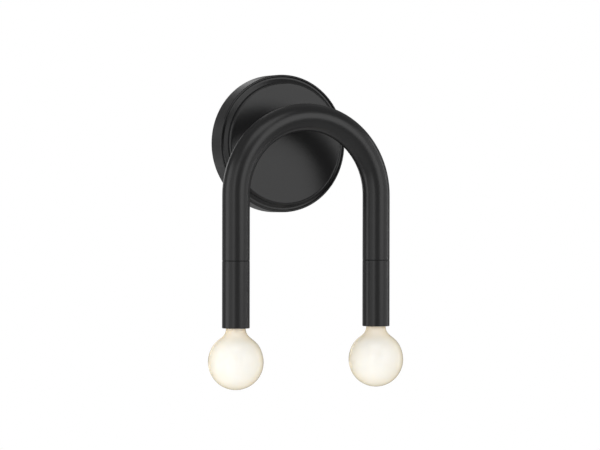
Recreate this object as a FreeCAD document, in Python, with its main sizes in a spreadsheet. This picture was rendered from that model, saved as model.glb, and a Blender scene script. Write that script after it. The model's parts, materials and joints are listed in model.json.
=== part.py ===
"""Arched-tube twin wall light: canopy, arm, bent tube, two lampholder cups and two globe bulbs.

Frame: millimetres, +Z up, origin at the middle of the canopy's rear rim, wall face at Y = 0,
the light standing out from the wall towards -Y.
"""
import FreeCAD
import Part

import math
import os
import re

import Sketcher

# ---------------------------------------------------------------------------------------------
# Driving dimensions, one cell each: name, value in millimetres (or a count), what it measures
# ---------------------------------------------------------------------------------------------
SIZES = (
    ("canopy_radius", 64.6, "outside of the canopy's side wall"),
    ("canopy_sheet", 1.2, "thickness of the canopy's spun sheet"),
    ("rim_depth", 20.6, "wall to the crest of the rolled bead"),
    ("bead_radius", 1.2, "radius of the rolled bead at the canopy's edge"),
    ("disc_radius", 57.6, "outside of the raised disc"),
    ("disc_depth", 26.2, "wall to the face of the raised disc"),
    ("disc_round", 2.0, "round on the disc's front edge"),
    ("arm_height", 23.5, "canopy centre up to the arm's axis"),
    ("arm_radius", 9.5, "outside of the arm"),
    ("arm_bore", 6.0, "bore of the arm, for the four leads"),
    ("tail_radius", 8.0, "threaded tail of the arm, behind the canopy"),
    ("tail_proud", 2.0, "tail standing past its nut"),
    ("washer_thick", 1.0, "arm washer, thickness"),
    ("washer_radius", 12.5, "arm washer, outside"),
    ("arm_nut_thick", 4.0, "arm nut, thickness"),
    ("arm_nut_flats", 24.0, "arm nut, across flats"),
    ("arch_depth", 71.5, "wall to the plane of the bent tube"),
    ("arch_radius", 72.0, "bend radius of the crown, at the tube's middle"),
    ("leg_length", 60.5, "straight leg, from the bend to the seam"),
    ("tube_radius", 12.7, "outside of the bent tube and the cups"),
    ("tube_wall", 1.5, "wall of the bent tube"),
    ("seam_chamfer", 0.4, "chamfer each side of the seam between leg and cup"),
    ("insert_length", 10.0, "threaded insert in the foot of each leg"),
    ("cup_length", 61.75, "lampholder cup, seam to foot"),
    ("cup_wall", 1.5, "wall of the cup"),
    ("cup_top", 4.0, "closed top of the cup"),
    ("cup_round", 0.7, "round on the cup's lower edge"),
    ("nipple_radius", 4.9, "threaded nipple, outside"),
    ("nipple_bore", 3.5, "threaded nipple, bore"),
    ("nipple_grip", 6.0, "nipple screwed into the lampholder"),
    ("nipple_in_insert", 8.0, "nipple screwed into the leg insert"),
    ("cup_nut_flats", 14.0, "lock nut under the cup's top, across flats"),
    ("cup_nut_thick", 3.5, "lock nut, thickness"),
    ("mouth_recess", 3.5, "lampholder mouth up inside the cup"),
    ("holder_length", 42.0, "lampholder, mouth to top"),
    ("holder_radius", 9.0, "lampholder body, outside"),
    ("holder_neck_radius", 6.6, "lampholder's threaded neck, outside"),
    ("holder_neck_length", 7.0, "lampholder's threaded neck"),
    ("holder_shoulder", 2.0, "cone between body and neck"),
    ("holder_floor", 3.0, "insulating floor above the screw shell"),
    ("shell_wall", 0.65, "brass of the screw shell, with the depth of its rolled thread"),
    ("shell_gap", 0.25, "screw shell to the bulb's cap, all round"),
    ("shell_sunk", 0.2, "screw shell up from the lampholder's mouth"),
    ("contact_air", 0.8, "centre contact to the screw shell's flange, all round"),
    ("chamber_radius", 6.4, "wiring chamber of the lampholder"),
    ("contact_radius", 2.4, "centre contact, button"),
    ("contact_thick", 1.6, "centre contact, button height"),
    ("stem_pin_radius", 0.9, "pin of the centre contact through the floor"),
    ("tab_thick", 0.8, "brass tabs that the leads end on"),
    ("tab_width", 2.4, "brass tabs, width"),
    ("tab_reach", 2.6, "tab's reach from the lampholder's axis"),
    ("tab_gap", 0.5, "air between the two tabs"),
    ("lead_radius", 1.2, "insulated lead, radius"),
    ("lead_gap", 0.2, "between two leads that run side by side"),
    ("lead_turn", 11.0, "bend of a lead from the crown into the arm"),
    ("tail_turn", 6.0, "bend of a lead behind the arm's tail"),
    ("lead_straight", 1.0, "straight lead past the arm's tail"),
    ("lead_into_connector", 10.0, "lead gripped inside a connector"),
    ("lead_to_connector", 2.0, "lead between its bend and the connector's mouth"),
    ("connector_radius", 5.5, "twist-on connector at its mouth"),
    ("connector_tip_radius", 3.6, "twist-on connector at its closed end"),
    ("connector_length", 19.0, "twist-on connector, length"),
    ("connector_wall", 2.5, "twist-on connector, wall of its skirt"),
    ("connector_skirt", 4.75, "twist-on connector, straight skirt"),
    ("connector_grip", 0.9, "radius of the grip flutes"),
    ("connector_lip", 2.4, "plain lip between the mouth and the grip flutes"),
    ("flute_offset", 0.3, "flutes' middles outside the skirt"),
    ("connector_flutes", 10, "number of grip flutes"),
    ("strap_width", 26.0, "wall strap, width"),
    ("strap_thick", 2.0, "wall strap, sheet"),
    ("strap_bend", 1.0, "inside bend radius of the strap's ears"),
    ("ear_reach", 14.0, "wall to the end of the strap's ears"),
    ("ear_clearance", 0.3, "ears to the inside of the canopy"),
    ("box_spacing", 88.9, "between the slots for the wall box's screws"),
    ("slot_width", 4.8, "slots in the strap, width"),
    ("slot_length", 12.0, "slots in the strap, end to end"),
    ("strap_hole_radius", 5.2, "middle hole of the strap"),
    ("grub_radius", 2.0, "canopy grub screw, radius"),
    ("grub_length", 8.0, "canopy grub screw, length"),
    ("grub_depth", 9.0, "wall to the grub screws' axis"),
    ("grub_sunk", 0.2, "grub screw below the canopy's surface"),
    ("grub_key", 2.0, "grub screw's hexagon, across flats"),
    ("grub_key_depth", 2.5, "grub screw's hexagon, depth"),
    ("earth_offset", 8.0, "earth lead to one side of the middle"),
    ("earth_lead_run", 2.0, "straight earth lead outside each barrel"),
    ("tag_radius", 11.5, "earth tag's ring, outside"),
    ("tag_thick", 0.8, "earth tag and terminal, sheet"),
    ("tag_reach", 13.5, "arm's axis down to the earth tag's barrel"),
    ("barrel_radius", 2.0, "crimp barrel, outside"),
    ("barrel_length", 6.0, "crimp barrel, length"),
    ("neck_half", 1.6, "neck between ring and barrel, half its width"),
    ("terminal_radius", 4.2, "ring terminal on the strap, outside"),
    ("terminal_reach", 5.0, "ring terminal's middle up to its barrel"),
    ("earth_screw_radius", 2.0, "earth screw, shank"),
    ("earth_flange_radius", 4.6, "earth screw, flange"),
    ("earth_flange_thick", 0.8, "earth screw, flange thickness"),
    ("earth_head_flats", 7.0, "earth screw, across flats"),
    ("earth_head_thick", 2.8, "earth screw, head height"),
    ("globe_radius", 25.5, "bulb's globe, outside"),
    ("glass_wall", 1.0, "bulb's glass"),
    ("neck_radius", 7.6, "bulb's neck"),
    ("neck_blend", 9.0, "hollow round between neck and globe"),
    ("neck_show", 0.75, "straight neck below the cup's foot"),
    ("neck_shoulder", 1.5, "round from the neck in to the cap"),
    ("bulb_cap_radius", 5.95, "screw cap, outside"),
    ("bulb_cap_wall", 0.4, "screw cap, sheet"),
    ("bulb_cap_length", 16.5, "screw cap, length"),
    ("bulb_cap_taper", 1.2, "narrowing at the top of the cap"),
    ("glass_in_cap", 3.0, "glass neck inside the cap"),
    ("glass_gap", 0.01, "cap to the glass neck inside it"),
    ("insulator_height", 1.3, "insulator above the cap"),
    ("insulator_radius", 3.6, "insulator at its top"),
    ("tip_radius", 2.2, "bulb's tip contact"),
    ("tip_height", 1.2, "bulb's tip contact, height"),
    ("tip_gap", 0.1, "bulb's tip to the centre contact"),
    ("stem_radius", 2.4, "glass stem inside the bulb"),
    ("stem_flare", 1.6, "the stem's flare beyond its own radius"),
    ("stem_length", 26.0, "glass stem"),
    ("filament_wire", 0.35, "filament and its supports"),
    ("filament_span", 6.5, "filament's half width"),
    ("filament_drop", 9.0, "stem down to the filament's ends"),
    ("knuckle_radius", 0.42, "ball where a support meets the filament"),
    ("fit_gap", 0.05, "screwed and pressed fits, all round"),
    ("bore_gap", 0.1, "clearance holes, all round"),
)
DRIVING = {row[0] for row in SIZES}

# Sizes and places that follow from the driving dimensions, as expressions of them
DERIVED = {
    "canopy_bore": "canopy_radius - canopy_sheet",
    "ring_depth": "rim_depth - bead_radius",
    "disc_inside": "disc_depth - canopy_sheet",
    "tail_end": "disc_inside - washer_thick - tag_thick - arm_nut_thick - tail_proud",
    "bend_height": "arm_height - arch_radius",
    "seam_height": "bend_height - leg_length",
    "cup_foot": "seam_height - cup_length",
    "mouth_height": "cup_foot + mouth_recess",
    "holder_top": "mouth_height + holder_length",
    "nipple_foot": "holder_top - nipple_grip",
    "nipple_head": "seam_height + nipple_in_insert",
    "shell_inside": "bulb_cap_radius + shell_gap",
    "shell_outside": "shell_inside + shell_wall",
    "bulb_reach": "bulb_cap_length + insulator_height + tip_height",
    "contact_foot": "bulb_reach + tip_gap",
    "floor_foot": "contact_foot + contact_thick",
    "floor_top": "floor_foot + holder_floor",
    "lead_foot": "mouth_height + floor_top + tab_thick",
    "lane": "lead_radius + lead_gap / 2",
    "blend_height": "sqrt((globe_radius + neck_blend) ^ 2 - (neck_radius + neck_blend) ^ 2)",
    "globe_to_cap": "blend_height + mouth_recess + neck_show",
    "globe_height": "mouth_height - globe_to_cap",
    "strap_half": "sqrt((canopy_bore - ear_clearance) ^ 2 - (strap_width / 2) ^ 2)",
    "grub_top": "canopy_radius - grub_sunk",
    "tag_back": "disc_inside - washer_thick",
    "tag_lead_depth": "tag_back - barrel_radius",
    "terminal_lead_depth": "strap_thick + barrel_radius",
    "tag_barrel_foot": "arm_height - tag_reach - barrel_length",
    "earth_drop": "tag_lead_depth - terminal_lead_depth",
    "terminal_barrel_top": "tag_barrel_foot - 2 * earth_lead_run - earth_drop",
    "terminal_height": "terminal_barrel_top - barrel_length - terminal_reach",
}

SIDES = (("left", -1), ("right", 1))
HEX_SIDES = 6
HALF_CORNER = 180 / HEX_SIDES
NEAR = 1e-4

doc = FreeCAD.newDocument("WallLight")
sheet = doc.addObject("Spreadsheet::Sheet", "Sizes")
for row, (name, amount, meaning) in enumerate(SIZES, start=1):
    sheet.set(f"A{row}", meaning)
    sheet.set(f"B{row}", str(amount))
    sheet.setAlias(f"B{row}", name)
doc.recompute()


# ---------------------------------------------------------------------------------------------
# Sizes
# ---------------------------------------------------------------------------------------------
def tied(text):
    """Spell out a size expression so that every name in it reads a cell of the sheet."""
    def spelled(match):
        word = match.group(0)
        if word in DRIVING:
            return "Sizes." + word
        if word in DERIVED:
            return "(" + tied(DERIVED[word]) + ")"
        return word
    return re.sub(r"[a-z][a-z_]+", spelled, str(text))


def value(text):
    """Number that a size expression has at present."""
    return float(sheet.evalExpression(tied(text)))


def bind(thing, **properties):
    """Tie properties of an object to size expressions; __ in a key stands for a dot."""
    for key, text in properties.items():
        thing.setExpression(key.replace("__", "."), tied(text))


def place(thing, x="0", y="0", z="0"):
    """Put a sub-part's own origin at a place of the light."""
    bind(thing, Placement__Base__x=x, Placement__Base__y=y, Placement__Base__z=z)


# ---------------------------------------------------------------------------------------------
# Sketches and features
# ---------------------------------------------------------------------------------------------
def new_body(label):
    """An empty sub-part."""
    body = doc.addObject("PartDesign::Body", label)
    body.Label = label
    return body


def plane_of(body, role):
    """One of a body's own origin planes."""
    return next(item for item in body.Origin.OriginFeatures if item.Role == role)


def new_sketch(body, name, role, offset="0"):
    """A sketch on one of the body's origin planes, moved along the plane's normal."""
    sketch = body.newObject("Sketcher::SketchObject", name)
    sketch.AttachmentSupport = [(plane_of(body, role), "")]
    sketch.MapMode = "FlatFace"
    bind(sketch, AttachmentOffset__Base__z=offset)
    return sketch


def fix_point(sketch, geometry, point, across, up):
    """Tie one point of a sketch to two size expressions."""
    for kind, text in (("DistanceX", across), ("DistanceY", up)):
        held = sketch.addConstraint(Sketcher.Constraint(kind, -1, 1, geometry, point, value(text)))
        sketch.setExpression(f"Constraints[{held}]", tied(text))


def hold(sketch, kind, geometry, text):
    """Tie a radius or a length of a sketch to a size expression."""
    held = sketch.addConstraint(Sketcher.Constraint(kind, geometry, value(text)))
    sketch.setExpression(f"Constraints[{held}]", tied(text))


def minor_arc(start, end, radius, side):
    """The shorter arc between two points; side 1 has its centre left of the way, -1 right."""
    chord = end - start
    half = chord.Length / 2
    rise = math.sqrt(max(radius ** 2 - half ** 2, 0.0))
    left = FreeCAD.Vector(-chord.y, chord.x, 0).normalize()
    centre = (start + end) * 0.5 + left * rise * side
    first, last = (start, end) if side > 0 else (end, start)
    angles = [math.atan2(point.y - centre.y, point.x - centre.x) for point in (first, last)]
    circle = Part.Circle(centre, FreeCAD.Vector(0, 0, 1), radius)
    return Part.ArcOfCircle(circle, angles[0], angles[1])


def outline(sketch, corners, arcs=None):
    """Closed outline through corners; arcs maps a corner's number to (radius, side) of the next run."""
    arcs = arcs or {}
    points = [FreeCAD.Vector(value(across), value(up), 0) for across, up in corners]
    base = sketch.GeometryCount
    ends = []
    for index, start in enumerate(points):
        end = points[(index + 1) % len(points)]
        if index in arcs:
            radius, side = arcs[index]
            sketch.addGeometry(minor_arc(start, end, value(radius), side), False)
            ends.append((1, 2) if side > 0 else (2, 1))
        else:
            sketch.addGeometry(Part.LineSegment(start, end), False)
            ends.append((1, 2))
    for index in range(len(points)):
        after = (index + 1) % len(points)
        sketch.addConstraint(Sketcher.Constraint(
            "Coincident", base + index, ends[index][1], base + after, ends[after][0]))
    for index, (across, up) in enumerate(corners):
        fix_point(sketch, base + index, ends[index][0], across, up)
    for index, (radius, side) in arcs.items():
        hold(sketch, "Radius", base + index, radius)


def circle(sketch, across, up, radius):
    """A full circle tied to its centre and radius."""
    middle = FreeCAD.Vector(value(across), value(up), 0)
    number = sketch.addGeometry(Part.Circle(middle, FreeCAD.Vector(0, 0, 1), value(radius)), False)
    fix_point(sketch, number, 3, across, up)
    hold(sketch, "Radius", number, radius)


def slot(sketch, across, up, length, width):
    """An upright slot with round ends, centred on a point."""
    reach = f"(({length}) - ({width})) / 2"
    radius = value(width) / 2
    top = FreeCAD.Vector(value(across), value(up) + value(reach), 0)
    foot = FreeCAD.Vector(value(across), value(up) - value(reach), 0)
    side = FreeCAD.Vector(radius, 0, 0)
    normal = FreeCAD.Vector(0, 0, 1)
    upper = sketch.addGeometry(Part.ArcOfCircle(Part.Circle(top, normal, radius), 0, math.pi), False)
    lower = sketch.addGeometry(
        Part.ArcOfCircle(Part.Circle(foot, normal, radius), math.pi, 2 * math.pi), False)
    left = sketch.addGeometry(Part.LineSegment(top - side, foot - side), False)
    right = sketch.addGeometry(Part.LineSegment(foot + side, top + side), False)
    for one, its_end, other, its_start in (
            (upper, 2, left, 1), (left, 2, lower, 1), (lower, 2, right, 1), (right, 2, upper, 1)):
        sketch.addConstraint(Sketcher.Constraint("Tangent", one, its_end, other, its_start))
    sketch.addConstraint(Sketcher.Constraint("Equal", upper, lower))
    fix_point(sketch, upper, 3, across, f"({up}) + {reach}")
    fix_point(sketch, lower, 3, across, f"({up}) - {reach}")
    hold(sketch, "Radius", upper, f"({width}) / 2")


def revolve(body, sketch, angle=360):
    """Turn a sketch about its own upright axis."""
    turned = body.newObject("PartDesign::Revolution", body.Name + "Turned")
    turned.Profile = sketch
    turned.ReferenceAxis = (sketch, ["V_Axis"])
    turned.Angle = angle
    doc.recompute()
    return turned


def turned_piece(label, role, corners, arcs=None):
    """A sub-part turned on a lathe: its half section revolved once round."""
    body = new_body(label)
    sketch = new_sketch(body, label + "_section", role)
    outline(sketch, corners, arcs)
    revolve(body, sketch)
    return body


def pad(body, sketch, length, midplane=False, reversed_way=False):
    """Give a sketch a thickness."""
    raised = body.newObject("PartDesign::Pad", sketch.Name + "_pad")
    raised.Profile = sketch
    raised.Midplane = midplane
    raised.Reversed = reversed_way
    bind(raised, Length=length)
    doc.recompute()
    return raised


def cut_through(body, sketch):
    """Cut a sketch through the whole body, both ways from its plane."""
    cut = body.newObject("PartDesign::Pocket", sketch.Name + "_cut")
    cut.Profile = sketch
    cut.Type = "ThroughAll"
    cut.Midplane = True
    doc.recompute()
    return cut


def cut_one_way(body, sketch, length, reversed_way):
    """Cut a sketch to a depth on one side of its plane."""
    cut = body.newObject("PartDesign::Pocket", sketch.Name + "_cut")
    cut.Profile = sketch
    cut.Reversed = reversed_way
    bind(cut, Length=length)
    doc.recompute()
    return cut


def dress(body, kind, name, base, edges, **sizes):
    """Round or chamfer named edges of a feature."""
    dressed = body.newObject(kind, name)
    dressed.Base = (base, edges)
    bind(dressed, **sizes)
    doc.recompute()
    return dressed


def rings(feature, radius, height, axis):
    """Names of a feature's circular edges of one radius at one place along an axis."""
    found = []
    for number, edge in enumerate(feature.Shape.Edges, start=1):
        curve = edge.Curve
        if not isinstance(curve, Part.Circle):
            continue
        along = getattr(curve.Center, axis)
        if abs(curve.Radius - radius) < NEAR and abs(along - height) < NEAR:
            found.append(f"Edge{number}")
    return found


def primitive(kind, name, **sizes):
    """A Part primitive with its sizes tied to the sheet."""
    thing = doc.addObject(kind, name)
    bind(thing, **sizes)
    return thing


def along_y(thing):
    """Turn a piece made about Z so that its axis lies along +Y."""
    thing.Placement.Rotation = FreeCAD.Rotation(FreeCAD.Vector(1, 0, 0), -90)


def less(label, base, tool):
    """One solid with another cut out of it."""
    cut = doc.addObject("Part::Cut", label)
    cut.Label = label
    cut.Base = base
    cut.Tool = tool
    return cut


def hexagon(flats):
    """Corners of a hexagon of this size across its flats."""
    reach = f"({flats}) / 2 / cos({HALF_CORNER})"
    turns = [2 * HALF_CORNER * step for step in range(HEX_SIDES)]
    return [(f"{reach} * cos({turn})", f"{reach} * sin({turn})") for turn in turns]


def hex_nut(label, role, flats, bore, thick, reversed_way=False):
    """A plain hexagon nut with its first face on the sketch's plane."""
    body = new_body(label)
    sketch = new_sketch(body, label + "_outline", role)
    outline(sketch, hexagon(flats))
    circle(sketch, "0", "0", bore)
    pad(body, sketch, thick, reversed_way=reversed_way)
    return body


def swept(edges, radius):
    """Round bar of a radius along a chain of lines and arcs."""
    path = Part.Wire(edges)
    start = edges[0].valueAt(edges[0].FirstParameter)
    ahead = edges[0].tangentAt(edges[0].FirstParameter)
    section = Part.Wire([Part.Circle(start, ahead, radius).toShape()])
    bar = path.makePipeShell([section], True, True)
    print(f"  bar volume over section times length: {bar.Volume / (math.pi * radius ** 2 * path.Length):.5f}")
    return bar


def loose_shape(label, shape):
    """A sub-part whose shape is worked out from the sheet's values."""
    piece = doc.addObject("Part::Feature", label)
    piece.Label = label
    piece.Shape = shape
    return piece


# ---------------------------------------------------------------------------------------------
# Canopy and wall strap
# ---------------------------------------------------------------------------------------------
def make_canopy():
    """Spun shell: side wall, rolled bead, sunk ring and raised disc, with the arm's hole."""
    corners = [
        ("canopy_bore", "0"),
        ("canopy_radius", "0"),
        ("canopy_radius", "-ring_depth"),
        ("canopy_radius - bead_radius", "-rim_depth"),
        ("canopy_radius - 2 * bead_radius", "-ring_depth"),
        ("disc_radius", "-ring_depth"),
        ("disc_radius", "-(disc_depth - disc_round)"),
        ("disc_radius - disc_round", "-disc_depth"),
        ("0", "-disc_depth"),
        ("0", "-disc_inside"),
        ("disc_radius - canopy_sheet", "-disc_inside"),
        ("disc_radius - canopy_sheet", "-(ring_depth - canopy_sheet)"),
        ("canopy_bore", "-(ring_depth - canopy_sheet)"),
    ]
    arcs = {2: ("bead_radius", -1), 3: ("bead_radius", -1), 6: ("disc_round", -1)}
    body = turned_piece("canopy", "XY_Plane", corners, arcs)
    arm_hole = new_sketch(body, "canopy_arm_hole", "XZ_Plane")
    circle(arm_hole, "0", "arm_height", "tail_radius + bore_gap")
    cut_through(body, arm_hole)
    screw_holes = new_sketch(body, "canopy_screw_holes", "XY_Plane")
    circle(screw_holes, "0", "-grub_depth", "grub_radius + bore_gap")
    cut_through(body, screw_holes)
    return body


def make_wall_bracket():
    """Folded strap: flat against the wall, an ear bent forward at each end."""
    body = new_body("wall_bracket")
    fold = new_sketch(body, "bracket_fold", "YZ_Plane")
    outline(fold, [
        ("0", "-strap_half"),
        ("0", "strap_half"),
        ("-ear_reach", "strap_half"),
        ("-ear_reach", "strap_half - strap_thick"),
        ("-strap_thick", "strap_half - strap_thick"),
        ("-strap_thick", "-(strap_half - strap_thick)"),
        ("-ear_reach", "-(strap_half - strap_thick)"),
        ("-ear_reach", "-strap_half"),
    ])
    flat = pad(body, fold, "strap_width", midplane=True)
    outer = bend_edges(flat, 0.0, value("strap_half"))
    outer_round = dress(body, "PartDesign::Fillet", "bracket_outer_bend", flat, outer,
                        Radius="strap_bend + strap_thick")
    inner = bend_edges(outer_round, -value("strap_thick"), value("strap_half - strap_thick"))
    dress(body, "PartDesign::Fillet", "bracket_inner_bend", outer_round, inner, Radius="strap_bend")
    slots = new_sketch(body, "bracket_slots", "XZ_Plane")
    for way in (1, -1):
        slot(slots, "0", f"{way} * box_spacing / 2", "slot_length", "slot_width")
    circle(slots, "0", "0", "strap_hole_radius")
    circle(slots, "earth_offset", "terminal_height", "earth_screw_radius + fit_gap")
    cut_through(body, slots)
    ears = new_sketch(body, "bracket_ear_holes", "XY_Plane")
    circle(ears, "0", "-grub_depth", "grub_radius + fit_gap")
    cut_through(body, ears)
    return body


def bend_edges(feature, depth, height):
    """Names of the strap's two straight edges along X at a depth and this far up and down."""
    found = []
    for number, edge in enumerate(feature.Shape.Edges, start=1):
        middle = edge.CenterOfMass
        across = isinstance(edge.Curve, Part.Line) and abs(edge.Curve.Direction.x) > 1 - NEAR
        if across and abs(middle.y - depth) < NEAR and abs(abs(middle.z) - height) < NEAR:
            found.append(f"Edge{number}")
    return found


def make_canopy_screws():
    """Two socket grub screws, in from the top and the foot of the canopy's side."""
    screws = []
    for way, name in ((1, "top"), (-1, "foot")):
        shank = primitive("Part::Cylinder", f"{name}_grub_shank", Radius="grub_radius",
                          Height="grub_length")
        place(shank, y="-grub_depth",
              z="grub_top - grub_length" if way > 0 else "-grub_top")
        key = primitive("Part::Prism", f"{name}_grub_key", Height="grub_key_depth",
                        Circumradius=f"grub_key / 2 / cos({HALF_CORNER})")
        key.Polygon = HEX_SIDES
        place(key, y="-grub_depth", z="grub_top - grub_key_depth" if way > 0 else "-grub_top")
        screws.append(less(f"{name}_grub", shank, key))
    group = doc.addObject("Part::Compound", "canopy_screws")
    group.Label = "canopy_screws"
    group.Links = screws
    return group


# ---------------------------------------------------------------------------------------------
# Arm and its fixing
# ---------------------------------------------------------------------------------------------
def make_arm():
    """Short tube, coped to the bent tube in front, with a threaded tail behind a shoulder."""
    bar = turned_piece("arm_bar", "XY_Plane", [
        ("arm_bore", "-arch_depth"),
        ("arm_radius", "-arch_depth"),
        ("arm_radius", "-disc_depth"),
        ("tail_radius", "-disc_depth"),
        ("tail_radius", "-tail_end"),
        ("arm_bore", "-tail_end"),
    ])
    place(bar, z="arm_height")
    tool = primitive("Part::Torus", "arm_cope", Radius1="arch_radius", Radius2="tube_radius")
    along_y(tool)
    place(tool, y="-arch_depth", z="bend_height")
    return less("arm", bar, tool)


def make_arm_washer():
    """Flat washer behind the canopy, round the arm's tail."""
    body = turned_piece("arm_washer", "XY_Plane", [
        ("tail_radius + bore_gap", "-disc_inside"),
        ("washer_radius", "-disc_inside"),
        ("washer_radius", "-tag_back"),
        ("tail_radius + bore_gap", "-tag_back"),
    ])
    place(body, z="arm_height")
    return body


def make_arm_nut():
    """Hexagon nut on the arm's tail, behind the earth tag."""
    body = hex_nut("arm_nut", "XZ_Plane", "arm_nut_flats", "tail_radius + fit_gap", "arm_nut_thick")
    place(body, y="-(tail_end + tail_proud)", z="arm_height")
    return body


# ---------------------------------------------------------------------------------------------
# Bent tube
# ---------------------------------------------------------------------------------------------
def make_arch_tube():
    """Tube swept up one leg, round the crown and down the other, with the arm's wire hole."""
    body = new_body("arch_tube")
    path = new_sketch(body, "arch_path", "XZ_Plane")
    foot_left = FreeCAD.Vector(-value("arch_radius"), value("seam_height"), 0)
    foot_right = FreeCAD.Vector(value("arch_radius"), value("seam_height"), 0)
    bend = FreeCAD.Vector(0, value("bend_height"), 0)
    reach = FreeCAD.Vector(value("arch_radius"), 0, 0)
    leg_left = path.addGeometry(Part.LineSegment(foot_left, bend - reach), False)
    around = Part.Circle(bend, FreeCAD.Vector(0, 0, 1), value("arch_radius"))
    crown = path.addGeometry(Part.ArcOfCircle(around, 0, math.pi), False)
    leg_right = path.addGeometry(Part.LineSegment(bend + reach, foot_right), False)
    path.addConstraint(Sketcher.Constraint("Tangent", leg_left, 2, crown, 2))
    path.addConstraint(Sketcher.Constraint("Tangent", leg_right, 1, crown, 1))
    fix_point(path, leg_left, 1, "-arch_radius", "seam_height")
    fix_point(path, leg_right, 2, "arch_radius", "seam_height")
    fix_point(path, crown, 3, "0", "bend_height")
    section = new_sketch(body, "arch_section", "XY_Plane", offset="seam_height")
    circle(section, "-arch_radius", "0", "tube_radius")
    circle(section, "-arch_radius", "0", "tube_radius - tube_wall")
    tube = body.newObject("PartDesign::AdditivePipe", "arch_sweep")
    tube.Profile = section
    tube.Spine = path
    tube.Mode = "Frenet"
    doc.recompute()
    feet = rings(tube, value("tube_radius"), value("seam_height"), "z")
    dress(body, "PartDesign::Chamfer", "arch_feet", tube, feet, Size="seam_chamfer")
    wire_hole = new_sketch(body, "arch_wire_hole", "XZ_Plane")
    circle(wire_hole, "0", "arm_height", "arm_bore")
    cut_one_way(body, wire_hole, "tube_radius", reversed_way=False)
    place(body, y="-arch_depth")
    return body


# ---------------------------------------------------------------------------------------------
# Legs' feet: insert, nipple, nut and cup
# ---------------------------------------------------------------------------------------------
def make_leg_insert(side, way):
    """Threaded plug welded in the foot of a leg."""
    body = turned_piece(f"{side}_leg_insert", "XZ_Plane", [
        ("nipple_radius + fit_gap", "0"),
        ("tube_radius - tube_wall - fit_gap", "0"),
        ("tube_radius - tube_wall - fit_gap", "insert_length"),
        ("nipple_radius + fit_gap", "insert_length"),
    ])
    place(body, f"{way} * arch_radius", "-arch_depth", "seam_height")
    return body


def make_cup_nipple(side, way):
    """Threaded tube from the leg's insert down into the lampholder."""
    body = turned_piece(f"{side}_cup_nipple", "XZ_Plane", [
        ("nipple_bore", "0"),
        ("nipple_radius", "0"),
        ("nipple_radius", "nipple_head - nipple_foot"),
        ("nipple_bore", "nipple_head - nipple_foot"),
    ])
    place(body, f"{way} * arch_radius", "-arch_depth", "nipple_foot")
    return body


def make_cup_nut(side, way):
    """Lock nut that clamps the cup's top against the leg."""
    body = hex_nut(f"{side}_cup_nut", "XY_Plane", "cup_nut_flats", "nipple_radius + fit_gap",
                   "cup_nut_thick")
    place(body, f"{way} * arch_radius", "-arch_depth", "seam_height - cup_top - cup_nut_thick")
    return body


def make_socket_cup(side, way):
    """Turned cup that carries on the leg below the seam and hides the lampholder."""
    body = turned_piece(f"{side}_socket_cup", "XZ_Plane", [
        ("nipple_radius + bore_gap", "0"),
        ("tube_radius", "0"),
        ("tube_radius", "-(cup_length - cup_round)"),
        ("tube_radius - cup_round", "-cup_length"),
        ("tube_radius - cup_wall", "-cup_length"),
        ("tube_radius - cup_wall", "-cup_top"),
        ("nipple_radius + bore_gap", "-cup_top"),
    ], {2: ("cup_round", -1)})
    top = rings(body.Tip, value("tube_radius"), 0.0, "z")
    dress(body, "PartDesign::Chamfer", f"{side}_cup_seam", body.Tip, top, Size="seam_chamfer")
    place(body, f"{way} * arch_radius", "-arch_depth", "seam_height")
    return body


# ---------------------------------------------------------------------------------------------
# Lampholder
# ---------------------------------------------------------------------------------------------
def make_lampholder(side, way):
    """Moulded body: socket bore below, insulating floor, wiring chamber and threaded neck."""
    body = turned_piece(f"{side}_lampholder", "XZ_Plane", [
        ("shell_outside + fit_gap", "0"),
        ("holder_radius", "0"),
        ("holder_radius", "holder_length - holder_neck_length - holder_shoulder"),
        ("holder_neck_radius", "holder_length - holder_neck_length"),
        ("holder_neck_radius", "holder_length"),
        ("nipple_radius + fit_gap", "holder_length"),
        ("nipple_radius + fit_gap", "holder_length - holder_neck_length"),
        ("chamber_radius", "holder_length - holder_neck_length - holder_shoulder"),
        ("chamber_radius", "floor_top"),
        ("stem_pin_radius + fit_gap", "floor_top"),
        ("stem_pin_radius + fit_gap", "floor_foot"),
        ("shell_outside + fit_gap", "floor_foot"),
    ])
    tab_hole = new_sketch(body, f"{side}_holder_tab_hole", "XY_Plane", offset="floor_foot")
    inner = f"{-way} * (chamber_radius - tab_thick)"
    outer = f"{-way} * (chamber_radius)"
    outline(tab_hole, [
        (inner, "-tab_width / 2"),
        (outer, "-tab_width / 2"),
        (outer, "tab_width / 2"),
        (inner, "tab_width / 2"),
    ])
    cut_one_way(body, tab_hole, "holder_floor", reversed_way=True)
    place(body, f"{way} * arch_radius", "-arch_depth", "mouth_height")
    return body


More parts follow.
